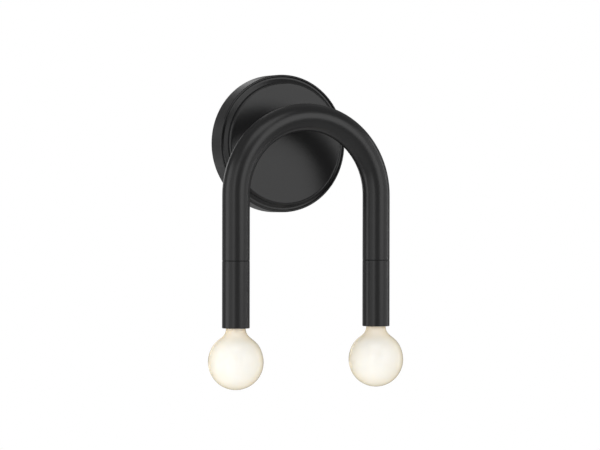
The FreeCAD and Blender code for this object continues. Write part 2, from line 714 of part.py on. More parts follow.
def make_screw_shell(side, way):
    """Brass sleeve that takes the bulb's cap, flanged at the top, with a tab up to its lead."""
    body = turned_piece(f"{side}_screw_shell", "XZ_Plane", [
        ("shell_inside", "shell_sunk"),
        ("shell_outside", "shell_sunk"),
        ("shell_outside", "floor_foot"),
        ("contact_radius + contact_air", "floor_foot"),
        ("contact_radius + contact_air", "floor_foot - shell_wall"),
        ("shell_inside", "floor_foot - shell_wall"),
    ])
    riser = new_sketch(body, f"{side}_shell_riser", "XY_Plane", offset="floor_foot - shell_wall")
    inner = f"{-way} * (chamber_radius - tab_thick)"
    outer = f"{-way} * (chamber_radius)"
    outline(riser, [
        (inner, "-tab_width / 2"),
        (outer, "-tab_width / 2"),
        (outer, "tab_width / 2"),
        (inner, "tab_width / 2"),
    ])
    pad(body, riser, "shell_wall + holder_floor + tab_thick")
    tail = new_sketch(body, f"{side}_shell_tail", "XY_Plane", offset="floor_top")
    near = f"{-way} * (stem_pin_radius + tab_gap)"
    outline(tail, [
        (near, "-tab_width / 2"),
        (outer, "-tab_width / 2"),
        (outer, "tab_width / 2"),
        (near, "tab_width / 2"),
    ])
    pad(body, tail, "tab_thick")
    place(body, f"{way} * arch_radius", "-arch_depth", "mouth_height")
    return body


def make_centre_contact(side, way):
    """Brass button above the bulb's tip, riveted through the floor to a tab."""
    body = turned_piece(f"{side}_centre_contact", "XZ_Plane", [
        ("0", "contact_foot"),
        ("contact_radius", "contact_foot"),
        ("contact_radius", "floor_foot"),
        ("stem_pin_radius", "floor_foot"),
        ("stem_pin_radius", "floor_top + tab_thick"),
        ("0", "floor_top + tab_thick"),
    ])
    tail = new_sketch(body, f"{side}_contact_tail", "XY_Plane", offset="floor_top")
    near = f"{-way} * stem_pin_radius"
    far = f"{way} * tab_reach"
    outline(tail, [
        (near, "-tab_width / 2"),
        (far, "-tab_width / 2"),
        (far, "tab_width / 2"),
        (near, "tab_width / 2"),
    ])
    pad(body, tail, "tab_thick")
    place(body, f"{way} * arch_radius", "-arch_depth", "mouth_height")
    return body


# ---------------------------------------------------------------------------------------------
# Leads and connectors
# ---------------------------------------------------------------------------------------------
def lead_edges(way, lane_way):
    """Lead's route: up a leg, round the crown, back through the arm, up or down behind it.

    way is -1 in the left leg and 1 in the right; lane_way is 1 for the outer lane, which turns
    up behind the arm, and -1 for the inner lane, which turns down.
    """
    lane = value("lane")
    around = value("arch_radius") + lane_way * lane
    turn = value("lead_turn")
    bend_z = value("bend_height")
    plane_y = -value("arch_depth")
    lean = math.asin(lane / math.hypot(around, turn)) + math.atan(turn / around)
    ahead = FreeCAD.Vector(-way * math.cos(lean), 0, math.sin(lean))
    back = FreeCAD.Vector(0, 1, 0)
    upward = FreeCAD.Vector(0, 0, lane_way)
    foot = FreeCAD.Vector(way * around, plane_y, value("lead_foot"))
    shoulder = FreeCAD.Vector(way * around, plane_y, bend_z)
    middle = math.pi / 4 + lean / 2
    over = FreeCAD.Vector(way * around * math.sin(middle), plane_y, bend_z + around * math.cos(middle))
    leave = FreeCAD.Vector(way * around * math.sin(lean), plane_y, bend_z + around * math.cos(lean))
    enter = leave + (ahead + back) * turn
    tail = FreeCAD.Vector(enter.x, -value("tail_end") + value("lead_straight"), enter.z)
    tail_turn = value("tail_turn")
    rise = tail + (back + upward) * tail_turn
    end = rise + upward * (value("lead_to_connector") + value("lead_into_connector"))
    return [
        Part.LineSegment(foot, shoulder).toShape(),
        Part.Arc(shoulder, over, leave).toShape(),
        Part.Arc(leave, halfway(leave, ahead, back, turn), enter).toShape(),
        Part.LineSegment(enter, tail).toShape(),
        Part.Arc(tail, halfway(tail, back, upward, tail_turn), rise).toShape(),
        Part.LineSegment(rise, end).toShape(),
    ]


def halfway(start, ahead, towards, radius):
    """Middle of a quarter turn that starts along one direction and ends along another."""
    half = math.pi / 4
    return start + ahead * (radius * math.sin(half)) + towards * (radius * (1 - math.cos(half)))


def make_lead(side, way, name, lane_way):
    """One insulated lead, whole, from its tab to its connector."""
    return loose_shape(f"{side}_{name}_lead", swept(lead_edges(way, lane_way), value("lead_radius")))


def make_connector(name, lane_way):
    """Twist-on connector: tapered cap with grip flutes, open at its mouth."""
    label = f"{name}_connector"
    body = turned_piece(label, "XZ_Plane", [
        ("connector_radius - connector_wall", "0"),
        ("connector_radius", "0"),
        ("connector_radius", "connector_skirt"),
        ("connector_tip_radius", "connector_length"),
        ("0", "connector_length"),
        ("0", "lead_into_connector"),
        ("connector_radius - connector_wall", "lead_into_connector"),
    ])
    flute = new_sketch(body, f"{label}_flute", "XY_Plane", offset="connector_lip")
    circle(flute, "connector_radius + flute_offset", "0", "connector_grip")
    cut = cut_one_way(body, flute, "connector_length", reversed_way=True)
    ring = body.newObject("PartDesign::PolarPattern", f"{label}_flutes")
    ring.Originals = [cut]
    ring.Axis = (flute, ["N_Axis"])
    ring.Angle = 360
    bind(ring, Occurrences="connector_flutes")
    body.Tip = ring
    doc.recompute()
    rise = lead_edges(1, lane_way)[-1].valueAt(0)
    flip = 0 if lane_way > 0 else 180
    body.Placement = FreeCAD.Placement(
        FreeCAD.Vector(0, rise.y, rise.z + lane_way * value("lead_to_connector")),
        FreeCAD.Rotation(FreeCAD.Vector(1, 0, 0), flip))
    return body


# ---------------------------------------------------------------------------------------------
# Earth bond
# ---------------------------------------------------------------------------------------------
def make_earth_tag():
    """Ring under the arm's nut, with a crimp barrel below it for the earth lead."""
    body = new_body("earth_tag")
    plate = new_sketch(body, "earth_tag_ring", "XZ_Plane")
    circle(plate, "0", "0", "tag_radius")
    circle(plate, "0", "0", "tail_radius + bore_gap")
    pad(body, plate, "tag_thick", reversed_way=True)
    neck = new_sketch(body, "earth_tag_neck", "XZ_Plane")
    outline(neck, crimp_neck("-(tag_reach + barrel_length / 2)",
                             "-sqrt(tag_radius ^ 2 - (earth_offset + neck_half) ^ 2)", "earth_offset"))
    pad(body, neck, "tag_thick", reversed_way=True)
    barrel = new_sketch(body, "earth_tag_barrel", "XY_Plane", offset="-(tag_reach + barrel_length)")
    circle(barrel, "earth_offset", "barrel_radius", "barrel_radius")
    circle(barrel, "earth_offset", "barrel_radius", "lead_radius")
    pad(body, barrel, "barrel_length")
    place(body, y="-tag_back", z="arm_height")
    return body


def crimp_neck(foot, top, middle):
    """Outline of the flat neck between a ring and its barrel."""
    return [
        (f"{middle} - neck_half", foot),
        (f"{middle} + neck_half", foot),
        (f"{middle} + neck_half", top),
        (f"{middle} - neck_half", top),
    ]


def make_earth_terminal():
    """Ring terminal under the earth screw, its barrel standing up to the lead."""
    body = new_body("earth_terminal")
    plate = new_sketch(body, "earth_terminal_ring", "XZ_Plane")
    circle(plate, "0", "0", "terminal_radius")
    circle(plate, "0", "0", "earth_screw_radius + bore_gap")
    pad(body, plate, "tag_thick")
    neck = new_sketch(body, "earth_terminal_neck", "XZ_Plane")
    outline(neck, crimp_neck("(earth_screw_radius + terminal_radius) / 2",
                             "terminal_reach + barrel_length / 2", "0"))
    pad(body, neck, "tag_thick")
    barrel = new_sketch(body, "earth_terminal_barrel", "XY_Plane", offset="terminal_reach")
    circle(barrel, "0", "-barrel_radius", "barrel_radius")
    circle(barrel, "0", "-barrel_radius", "lead_radius")
    pad(body, barrel, "barrel_length")
    place(body, "earth_offset", "-strap_thick", "terminal_height")
    return body


def make_earth_lead():
    """Earth lead: down out of the tag, over in two quarter turns, down into the terminal."""
    side = value("earth_offset")
    down = FreeCAD.Vector(0, 0, -1)
    back = FreeCAD.Vector(0, 1, 0)
    turn = value("earth_drop") / 2
    head = FreeCAD.Vector(side, -value("tag_lead_depth"), value("tag_barrel_foot + barrel_length"))
    first = head + down * value("barrel_length + earth_lead_run")
    middle = first + (down + back) * turn
    last = middle + (down + back) * turn
    foot = last + down * value("barrel_length + earth_lead_run")
    edges = [
        Part.LineSegment(head, first).toShape(),
        Part.Arc(first, halfway(first, down, back, turn), middle).toShape(),
        Part.Arc(middle, halfway(middle, back, down, turn), last).toShape(),
        Part.LineSegment(last, foot).toShape(),
    ]
    return loose_shape("earth_lead", swept(edges, value("lead_radius")))


def make_earth_screw():
    """Flanged hexagon screw that holds the ring terminal to the strap."""
    body = turned_piece("earth_screw", "XY_Plane", [
        ("0", "0"),
        ("earth_screw_radius", "0"),
        ("earth_screw_radius", "-(strap_thick + tag_thick)"),
        ("earth_flange_radius", "-(strap_thick + tag_thick)"),
        ("earth_flange_radius", "-(strap_thick + tag_thick + earth_flange_thick)"),
        ("0", "-(strap_thick + tag_thick + earth_flange_thick)"),
    ])
    head = new_sketch(body, "earth_screw_head", "XZ_Plane",
                      offset="strap_thick + tag_thick + earth_flange_thick")
    outline(head, hexagon("earth_head_flats"))
    pad(body, head, "earth_head_thick")
    place(body, "earth_offset", "0", "terminal_height")
    return body


# ---------------------------------------------------------------------------------------------
# Bulbs
# ---------------------------------------------------------------------------------------------
def place_bulb(body, way):
    """Bulb pieces are drawn about the foot of the screw cap."""
    place(body, f"{way} * arch_radius", "-arch_depth", "mouth_height")


def glass_side(inset):
    """Corners of the glass from its foot to its open top, this far inside the surface."""
    globe = f"(globe_radius - {inset})"
    blend = f"(neck_blend + {inset})"
    share = f"{globe} / (globe_radius + neck_blend)"
    throat = f"(bulb_cap_radius - bulb_cap_wall - {inset})"
    return [
        ("0", f"-globe_to_cap - {globe}"),
        (f"{share} * (neck_radius + neck_blend)", f"-globe_to_cap + {share} * blend_height"),
        (f"neck_radius - {inset}", "blend_height - globe_to_cap"),
        (f"neck_radius - {inset}", "-neck_shoulder"),
        (throat, "0"),
        (throat, "glass_in_cap"),
    ], {0: (globe, 1), 1: (blend, -1)}


def make_bulb_globe(side, way):
    """Opal glass: globe, hollow round, neck and the narrow throat inside the cap."""
    outside, outside_arcs = glass_side("0")
    inside, inside_arcs = glass_side("glass_wall")
    corners = outside + inside[::-1]
    count = len(corners)
    arcs = dict(outside_arcs)
    for index, (radius, turn) in inside_arcs.items():
        arcs[count - 2 - index] = (radius, -turn)
    body = turned_piece(f"{side}_bulb_globe", "XZ_Plane", corners, arcs)
    place_bulb(body, way)
    return body


def make_bulb_cap(side, way):
    """Screw cap, drawn in at the top."""
    body = turned_piece(f"{side}_bulb_cap", "XZ_Plane", [
        ("bulb_cap_radius - bulb_cap_wall + glass_gap", "0"),
        ("bulb_cap_radius", "0"),
        ("bulb_cap_radius", "bulb_cap_length - bulb_cap_taper"),
        ("bulb_cap_radius - bulb_cap_taper", "bulb_cap_length"),
        ("insulator_radius - bulb_cap_wall", "bulb_cap_length"),
        ("insulator_radius - bulb_cap_wall", "bulb_cap_length - bulb_cap_wall"),
        ("bulb_cap_radius - bulb_cap_taper - bulb_cap_wall", "bulb_cap_length - bulb_cap_wall"),
        ("bulb_cap_radius - bulb_cap_wall + glass_gap",
         "bulb_cap_length - bulb_cap_taper - bulb_cap_wall / 2"),
    ])
    place_bulb(body, way)
    return body


def make_bulb_insulator(side, way):
    """Black glass disc between the cap and the tip."""
    body = turned_piece(f"{side}_bulb_insulator", "XZ_Plane", [
        ("0", "bulb_cap_length"),
        ("bulb_cap_radius - bulb_cap_taper", "bulb_cap_length"),
        ("insulator_radius", "bulb_cap_length + insulator_height"),
        ("0", "bulb_cap_length + insulator_height"),
    ])
    place_bulb(body, way)
    return body


def make_bulb_contact(side, way):
    """Solder tip, domed."""
    dome = "(tip_radius ^ 2 + tip_height ^ 2) / (2 * tip_height)"
    body = turned_piece(f"{side}_bulb_contact", "XZ_Plane", [
        ("0", "bulb_cap_length + insulator_height"),
        ("tip_radius", "bulb_cap_length + insulator_height"),
        ("0", "bulb_reach"),
    ], {1: (dome, 1)})
    place_bulb(body, way)
    return body


def make_bulb_stem(side, way):
    """Glass stem sealed in the throat, flared where it meets the neck."""
    body = turned_piece(f"{side}_bulb_stem", "XZ_Plane", [
        ("0", "glass_in_cap - stem_length"),
        ("stem_radius", "glass_in_cap - stem_length"),
        ("stem_radius", "-stem_flare"),
        ("stem_radius + stem_flare", "glass_in_cap"),
        ("0", "glass_in_cap"),
    ])
    place_bulb(body, way)
    return body


def make_bulb_filament(side, way):
    """Two supports splayed down out of the stem's end and the filament bowed between them."""
    wire = value("filament_wire")
    span = value("filament_span")
    root = value("stem_radius") - 2 * wire
    top = value("glass_in_cap - stem_length")
    foot = top - value("filament_drop")
    left = FreeCAD.Vector(-span, 0, foot)
    right = FreeCAD.Vector(span, 0, foot)
    low = FreeCAD.Vector(0, 0, foot - span)
    shape = swept([Part.Arc(left, low, right).toShape()], wire)
    for end in (left, right):
        root_point = FreeCAD.Vector(math.copysign(root, end.x), 0, top)
        ahead = (end - root_point).normalize()
        start = root_point - ahead * (2 * wire)
        support = Part.makeCylinder(wire, (end - start).Length, start, ahead)
        shape = shape.fuse([support, Part.makeSphere(value("knuckle_radius"), end)])
    stem = Part.makeCylinder(value("stem_radius"), value("stem_length"), FreeCAD.Vector(0, 0, top))
    piece = loose_shape(f"{side}_bulb_filament", shape.cut(stem))
    place_bulb(piece, way)
    return piece


# ---------------------------------------------------------------------------------------------
# The whole light
# ---------------------------------------------------------------------------------------------
def make_side(side, way):
    """Everything on one leg: fixing, cup, lampholder, leads and bulb."""
    return [
        make_leg_insert(side, way),
        make_cup_nipple(side, way),
        make_cup_nut(side, way),
        make_socket_cup(side, way),
        make_lampholder(side, way),
        make_screw_shell(side, way),
        make_centre_contact(side, way),
        make_lead(side, way, "live", 1),
        make_lead(side, way, "neutral", -1),
        make_bulb_globe(side, way),
        make_bulb_cap(side, way),
        make_bulb_insulator(side, way),
        make_bulb_contact(side, way),
        make_bulb_stem(side, way),
        make_bulb_filament(side, way),
    ]


def check(parts):
    """Stop if any object of the document failed or any sub-part has no sound shape."""
    for thing in doc.Objects:
        if "Invalid" in thing.State or "Error" in thing.State:
            raise RuntimeError(f"{thing.Label} failed: {thing.State}")
    for part in parts:
        if part.Shape.isNull() or not part.Shape.isValid() or not part.Shape.Solids:
            raise RuntimeError(f"{part.Label} has no sound solid")


def main():
    """Build every sub-part, check it and write its STEP file."""
    parts = [
        make_canopy(),
        make_wall_bracket(),
        make_canopy_screws(),
        make_arm(),
        make_arm_washer(),
        make_arm_nut(),
        make_arch_tube(),
        make_connector("live", 1),
        make_connector("neutral", -1),
        make_earth_tag(),
        make_earth_terminal(),
        make_earth_lead(),
        make_earth_screw(),
    ]
    for side, way in SIDES:
        parts += make_side(side, way)
    doc.recompute()
    check(parts)
    os.makedirs("parts", exist_ok=True)
    for part in parts:
        part.Shape.exportStep(f"parts/{part.Label}.step")
        print(f"{part.Label}: {len(part.Shape.Solids)} solid, {part.Shape.Volume:.1f} mm3")


main()
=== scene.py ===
"""Looks of an arched-tube wall light: finishes, globes, screw threads, fixings, weld and studio.

Laid out as an add-on. The sizes and colours that a user would change are property groups, each
group of like pieces has an operator, and a panel in the 3D view's sidebar lists them all.
Lengths are metres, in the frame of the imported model: +Z up, the wall at Y = 0, the room at -Y.
"""
import json
import math

import bmesh
import bpy
import numpy as np
from mathutils import Matrix, Vector

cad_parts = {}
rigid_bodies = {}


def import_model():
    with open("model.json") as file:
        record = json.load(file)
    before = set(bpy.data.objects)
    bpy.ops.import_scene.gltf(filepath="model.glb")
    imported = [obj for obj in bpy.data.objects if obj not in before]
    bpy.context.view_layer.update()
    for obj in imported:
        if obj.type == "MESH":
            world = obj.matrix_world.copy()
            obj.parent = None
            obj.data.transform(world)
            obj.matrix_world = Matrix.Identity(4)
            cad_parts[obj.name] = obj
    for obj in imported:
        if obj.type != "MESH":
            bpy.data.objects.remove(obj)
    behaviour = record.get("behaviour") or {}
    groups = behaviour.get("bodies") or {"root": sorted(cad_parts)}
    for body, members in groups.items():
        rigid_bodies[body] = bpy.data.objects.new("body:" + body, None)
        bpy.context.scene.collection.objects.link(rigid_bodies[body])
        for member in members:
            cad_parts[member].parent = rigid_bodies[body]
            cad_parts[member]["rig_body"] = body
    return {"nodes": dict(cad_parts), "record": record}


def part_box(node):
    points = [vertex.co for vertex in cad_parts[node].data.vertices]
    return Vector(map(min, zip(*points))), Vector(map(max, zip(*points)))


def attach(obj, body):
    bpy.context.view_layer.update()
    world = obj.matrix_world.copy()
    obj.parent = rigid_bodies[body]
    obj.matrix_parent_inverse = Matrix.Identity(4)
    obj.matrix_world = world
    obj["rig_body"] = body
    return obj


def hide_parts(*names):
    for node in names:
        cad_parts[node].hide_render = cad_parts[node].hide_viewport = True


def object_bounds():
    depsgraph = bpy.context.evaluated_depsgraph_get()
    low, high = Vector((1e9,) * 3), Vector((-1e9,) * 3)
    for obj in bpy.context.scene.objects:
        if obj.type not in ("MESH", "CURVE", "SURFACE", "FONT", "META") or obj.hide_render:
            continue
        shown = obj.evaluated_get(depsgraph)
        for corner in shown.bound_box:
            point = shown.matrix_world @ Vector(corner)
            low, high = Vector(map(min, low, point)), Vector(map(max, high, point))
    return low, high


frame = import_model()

bl_info = {
    "name": "Arched wall light",
    "version": (1, 0, 0),
    "blender": (4, 5, 0),
    "location": "3D View > Sidebar > Wall Light",
    "description": "Finishes, globes, screw threads and studio of a twin wall light",
    "category": "Object",
}

MM = 0.001
SIDES = {"left": -1, "right": 1}  # each side's direction along X
NODES = frame["nodes"]
SLOT_OF = {part["node"]: part["material_slot"] for part in frame["record"]["subparts"]}
CAD_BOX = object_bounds()


# ---- Sizes and colours ----
def length(name, description, default):
    """A length that the user can change, given here in millimetres."""
    return bpy.props.FloatProperty(name=name, description=description, default=default * MM,
                                   min=0.0, unit="LENGTH", precision=5)


def position(name, description, default):
    """A place along an axis, to either side of the origin, given here in millimetres."""
    return bpy.props.FloatProperty(name=name, description=description, default=default * MM,
                                   unit="LENGTH", precision=5)


def colour(name, description, default):
    """A colour that the user can change."""
    return bpy.props.FloatVectorProperty(
        name=name, description=description, default=default, min=0.0, max=1.0, size=3,
        subtype="COLOR")


def share(name, description, default):
    """A share from 0 to 1 that the user can change."""
    return bpy.props.FloatProperty(
        name=name, description=description, default=default, min=0.0, max=1.0, subtype="FACTOR")


def angle(name, description, default):
    """An angle that the user can change, given here in degrees."""
    return bpy.props.FloatProperty(
        name=name, description=description, default=math.radians(default), subtype="ANGLE",
        unit="ROTATION")


class PartSizes(bpy.types.PropertyGroup):
    """Sizes of the globes, the threads, the fixings, the weld and the canopy's bevel."""

    # Globes
    globe_leave: angle("Globe's end", "Height on the globe where its shoulder leaves it", 11.9)
    shoulder_pull: length("Shoulder pull", "Reach of the shoulder along the globe", 18.57)
    neck_radius: length("Bulb neck radius", "Glass neck below the bulb's cap", 8.97)
    neck_rise: length("Bulb neck rise", "Middle of the globe up to the straight neck", 31.64)
    neck_pull: length("Neck pull", "Reach of the shoulder along the neck", 12.2)
    neck_shoulder: length("Bulb neck shoulder", "Height of the cone from neck in to cap", 1.5)
    glass_wall: length("Glass wall", "Thickness of the bulb's glass", 1.0)

    # Lamp threads: the bulbs' caps and the brass shells that take them
    lamp_pitch: length("Lamp thread pitch", "Height of one turn of the round thread", 2.54)
    cap_depth: length("Cap thread depth", "Crest to root of the thread on the bulb's cap", 0.5)
    cap_sheet: length("Cap sheet", "Thickness of the bulb's cap", 0.22)
    cap_skirt: length("Cap skirt", "Plain skirt below the thread, over the glass", 3.3)
    cap_step: length("Cap step", "Plain skirt of the cap below the thread's crest", 0.1)
    cap_shoulder: length("Cap shoulder", "Height of the round shoulder at the cap's top", 1.9)
    cap_hole: length("Cap hole", "Radius of the hole in the top of cap and shell", 3.2)
    shell_depth: length("Shell thread depth", "Crest to root of the shell's thread", 0.35)
    shell_sheet: length("Shell sheet", "Thickness of the brass shell", 0.28)
    shell_height: length("Shell height", "Brass shell from its lip to its flange", 20.5)
    tab_width: length("Tab width", "Width of the brass tab up to the lead", 2.4)
    tab_sheet: length("Tab sheet", "Thickness of the brass tab", 0.8)
    tab_edge: length("Tab edge", "Corner taken off the edges of the brass tab", 0.15)
    tab_out: length("Tab out", "Lampholder's axis to the middle of the upright tab", 6.0)
    tab_end: length("Tab end", "Lampholder's axis to the end of the bent tab", 1.4)

    # Fixings
    fine_pitch: length("Fixing thread pitch", "Fine threads on arm and nipples", 1.0)
    fine_depth: length("Fixing thread depth", "Crest to root of the fine threads", 0.5)
    nipple_bore: length("Nipple bore", "Radius of the wire way through a nipple", 3.5)
    screw_radius: length("Earth screw radius", "Crest of the earth screw's thread", 2.0)
    screw_pitch: length("Earth screw pitch", "Pitch of the earth screw's thread", 0.7)
    screw_depth: length("Earth screw thread depth", "Crest to root of that thread", 0.35)
    head_flats: length("Screw head flats", "Earth screw's head across flats", 7.0)
    head_height: length("Screw head height", "Height of the earth screw's hexagon", 2.8)
    head_flange: length("Screw flange", "Thickness of the toothed flange below it", 0.8)

    # Arm, weld and canopy
    tail_radius: length("Tail radius", "Threaded tail of the arm", 8.0)
    arm_bore: length("Arm bore", "Radius of the wire way through the arm", 6.0)
    weld_leg: length("Weld leg", "Reach of the weld along the arm and along the tube", 1.3)
    bevel_outer: length("Bevel outer radius", "Foot of the bevel, inside the bead", 61.85)
    bevel_inner: length("Bevel inner radius", "Side of the canopy's raised disc", 57.6)
    bevel_foot: length("Bevel foot", "Wall to the foot of the bevel", 18.7)
    bevel_rise: length("Bevel rise", "Height of the bevel against the disc's side", 2.5)


class FinishColours(bpy.types.PropertyGroup):
    """Colours of the finishes, and the reach of the painted shade and glow at the globes' necks.
    """

    black_coat: colour("Black coat", "Powder coat of the canopy, arm, tube and cups",
                       (0.0078, 0.0078, 0.0081))
    zinc: colour("Zinc", "Zinc plate of the strap, washer and nuts", (0.60, 0.62, 0.64))
    opal: colour("Opal", "Opal glass of the globes", (0.845, 0.855, 0.895))
    # Painted shade and glow: the tan towards the bulb's neck stands in for the shade under the cup
    # and light glowing through the glass
    neck_shade_and_glow: colour("Opal at the neck", "Thinner, warmer opal round the neck",
                      (0.94, 0.80, 0.65))
    # Reach of that painted neck shade and glow, down from the top of the glass
    neck_shade_reach: length("Warm part", "Top of the globe down to where its opal is coolest", 22.0)
    brass: colour("Brass", "Drawn brass of the screw shells", (0.72, 0.52, 0.24))
    nickel: colour("Nickel", "Nickel plate of the bulbs' caps", (0.70, 0.68, 0.64))
    connector: colour("Connector", "Moulded twist-on connectors", (0.76, 0.25, 0.03))


class StudioSettings(bpy.types.PropertyGroup):
    """Camera and light."""

    yaw: angle("Camera yaw", "Camera to the left of straight on", 25.779)
    pitch: angle("Camera pitch", "Camera looking down", 0.315)
    roll: angle("Camera roll", "Camera leaning", 0.101)
    distance: length("Camera distance", "Camera to its target", 2981.5)
    target_x: position("Target X", "Place that the camera looks at, along X", -1.422)
    target_y: position("Target Y", "Place that the camera looks at, along Y", -60.0)
    target_z: position("Target Z", "Place that the camera looks at, along Z", -76.304)
    lens: bpy.props.FloatProperty(
        name="Lens", description="Focal length in millimetres on a sensor 36 mm wide",
        default=192.8, unit="CAMERA")
    floor_drop: length("Floor drop", "Lowest point of the light down to the floor", 1200.0)
    ambient: share("Ambient", "Even light from all round, on every surface", 0.8)
    gloss_room: share("Room in gloss", "Brightness of the studio as glossy surfaces show it", 0.22)


# ---- Shader arithmetic ----
# Sockets of a Mix node that mixes colours, by number because their names repeat
MIX_SHARE, MIX_FIRST, MIX_SECOND, MIX_RESULT = 0, 6, 7, 2


class Flow:
    """A socket of a node tree; arithmetic on it adds Math nodes."""

    def __init__(self, tree, socket=None):
        self.tree = tree
        self.socket = socket

    def node(self, kind, sockets, outlet=0, **settings):
        """Add a node: its settings first, then a value or a link for each of its sockets."""
        made = self.tree.nodes.new(kind)
        for name, setting in settings.items():
            setattr(made, name, setting)
        for name, given in sockets.items():
            if isinstance(given, Flow):
                self.tree.links.new(given.socket, made.inputs[name])
            else:
                made.inputs[name].default_value = given
        return Flow(self.tree, made.outputs[outlet] if made.outputs else None)

    def maths(self, operation, *values):
        """One Math node on up to three values."""
        return self.node("ShaderNodeMath", dict(enumerate(values)), operation=operation)

    def __add__(self, other):
        return self.maths("ADD", self, other)

    def __radd__(self, other):
        return self.maths("ADD", other, self)

    def __sub__(self, other):
        return self.maths("SUBTRACT", self, other)

    def __rsub__(self, other):
        return self.maths("SUBTRACT", other, self)

    def __mul__(self, other):
        return self.maths("MULTIPLY", self, other)

    def __rmul__(self, other):
        return self.maths("MULTIPLY", other, self)

    def __abs__(self):
        return self.maths("ABSOLUTE", self)

    def at_least(self, other):
        """The larger of this and another value."""
        return self.maths("MAXIMUM", self, other)

    def limited(self, low, high):
        """Smooth step from 0 at low to 1 at high."""
        return self.node("ShaderNodeMapRange", {"Value": self, "From Min": low, "From Max": high},
                         interpolation_type="SMOOTHSTEP")

    def part(self, axis):
        """One component of a place or direction."""
        return self.node("ShaderNodeSeparateXYZ", {"Vector": self}, outlet=axis)

    def between(self, begins, ends):
        """1 inside a band and 0 outside, with a smooth step over each of its two edges."""
        return self.limited(*begins) * (1.0 - self.limited(*ends))

    def blend(self, first, second):
        """Colour that goes from the first to the second as this goes from 0 to 1."""
        return self.node("ShaderNodeMix", {MIX_SHARE: self, MIX_FIRST: (*first, 1.0),
                                           MIX_SECOND: (*second, 1.0)},
                         outlet=MIX_RESULT, data_type="RGBA")


class Finish:
    """A material under work: its Principled shader and the patterns that it is painted with."""

    def __init__(self, name, **constants):
        self.material = bpy.data.materials.new(name)
        self.material.use_nodes = True
        tree = self.material.node_tree
        self.shader = next(node for node in tree.nodes if node.type == "BSDF_PRINCIPLED")
        self.flow = Flow(tree)
        self.place = self.flow.node("ShaderNodeTexCoord", {}, outlet="Object")
        for name, given in constants.items():
            self.socket(name).default_value = given

    def socket(self, name):
        """The shader's socket of this name, written small and with underscores."""
        label = name.replace("_", " ")
        return next(one for one in self.shader.inputs if one.name.lower() == label)

    def noise(self, scale, detail, place=None):
        """Cloudy pattern from 0 to 1, with this many blotches to the metre."""
        return self.flow.node("ShaderNodeTexNoise", {"Vector": place or self.place,
                                                     "Scale": scale, "Detail": detail})

    def stretched(self, x, y, z):
        """Place with each axis multiplied, which draws a pattern out along the small ones."""
        return self.flow.node("ShaderNodeMapping", {"Vector": self.place, "Scale": (x, y, z)})

    def feed(self, **sockets):
        """Link patterns to the shader's sockets."""
        for name, given in sockets.items():
            self.flow.tree.links.new(given.socket, self.socket(name))
        return self.material

    def relief(self, height, depth):
        """Bump of this depth in millimetres."""
        return self.flow.node("ShaderNodeBump", {"Height": height, "Distance": depth * MM})


def emptied(owner):
    """Flow over the node tree of a material or world, with its nodes taken out."""
    owner.use_nodes = True
    owner.node_tree.nodes.clear()
    return Flow(owner.node_tree)


def darker(tone, amount):
    """A colour times an amount."""
    return tuple(channel * amount for channel in tone)


# ---- Finishes, one function each ----
def clouded(name, pattern, tones, roughness, depth, **constants):
    """Finish whose colour, gloss and relief all follow one cloudy pattern.

    pattern is its scale and detail, tones are its darkest and lightest colour, and roughness is
    the least and what the pattern adds.
    """
    finish = Finish(name, **constants)
    cloud = finish.noise(*pattern)
    return finish.feed(
        base_color=cloud.blend(*tones),
        roughness=roughness[0] + roughness[1] * cloud,
        normal=finish.relief(cloud, depth))


def drawn_metal(name, tone, darkest, lines, blotches, least_rough):
    """Drawn metal: fine lines round the draw, darker and duller where it has been handled."""
    metal = Finish(name, metallic=1.0)
    drawn = metal.noise(1.0, 2.0, metal.stretched(160.0, 160.0, lines))
    cloud = metal.noise(blotches, 3.0)
    return metal.feed(
        base_color=cloud.blend(darker(tone, darkest), tone),
        roughness=least_rough + 0.12 * cloud + 0.08 * drawn,
        normal=metal.relief(drawn, 0.006))


def insulation(name, dark, light):
    """Extruded insulation: faint ripples of the strands below and a waxy skin."""
    jacket = Finish(name, specular_ior_level=0.5)
    ripple = jacket.noise(900.0, 2.0)
    cloud = jacket.noise(120.0, 2.0)
    return jacket.feed(
        base_color=cloud.blend(dark, light),
        roughness=0.30 + 0.12 * ripple,
        normal=jacket.relief(ripple, 0.030))


def black_finish(tones):
    """Satin powder coat: faint orange peel, a fine grain and slightly uneven gloss."""
    coat = Finish("black_powder_coat", specular_ior_level=0.52)
    tone = tuple(tones.black_coat)
    peel = coat.noise(620.0, 2.0)
    grain = coat.noise(5200.0, 1.0)
    cloud = coat.noise(38.0, 3.0)
    return coat.feed(
        base_color=(0.6 * cloud + 0.4 * grain).blend(darker(tone, 0.84), darker(tone, 1.16)),
        roughness=0.25 + 0.04 * cloud + 0.03 * grain,
        normal=coat.relief(peel + 0.25 * grain, 0.012))


def zinc_steel(tones):
    """Zinc plate over rolled steel: cold spangle, fine rolling lines and dull patches."""
    plate = Finish("zinc_plate", metallic=1.0)
    tone = tuple(tones.zinc)
    spangle = plate.noise(420.0, 2.0)
    rolled = plate.noise(1.0, 2.0, plate.stretched(4200.0, 900.0, 90.0))
    cloud = plate.noise(70.0, 3.0)
    return plate.feed(
        base_color=(0.5 * spangle + 0.5 * cloud).blend(darker(tone, 0.78), tone),
        roughness=0.26 + 0.16 * cloud + 0.08 * rolled,
        normal=plate.relief(rolled + 0.4 * spangle, 0.010))


def black_screw(tones):
    """Black oxide, oily and slightly brown where it is thin."""
    return clouded("black_oxide", pattern=(900.0, 3.0),
                   tones=((0.016, 0.015, 0.014), (0.045, 0.040, 0.036)),
                   roughness=(0.34, 0.14), depth=0.010, metallic=0.6)


def connector_shell(tones):
    """Moulded plastic with a fine spark-eroded grain."""
    plastic = Finish("connector_plastic", specular_ior_level=0.5)
    tone = tuple(tones.connector)
    grain = plastic.noise(3600.0, 2.0)
    cloud = plastic.noise(160.0, 2.0)
    return plastic.feed(
        base_color=cloud.blend(darker(tone, 0.86), tone),
        roughness=0.34 + 0.14 * grain,
        normal=plastic.relief(grain, 0.018))


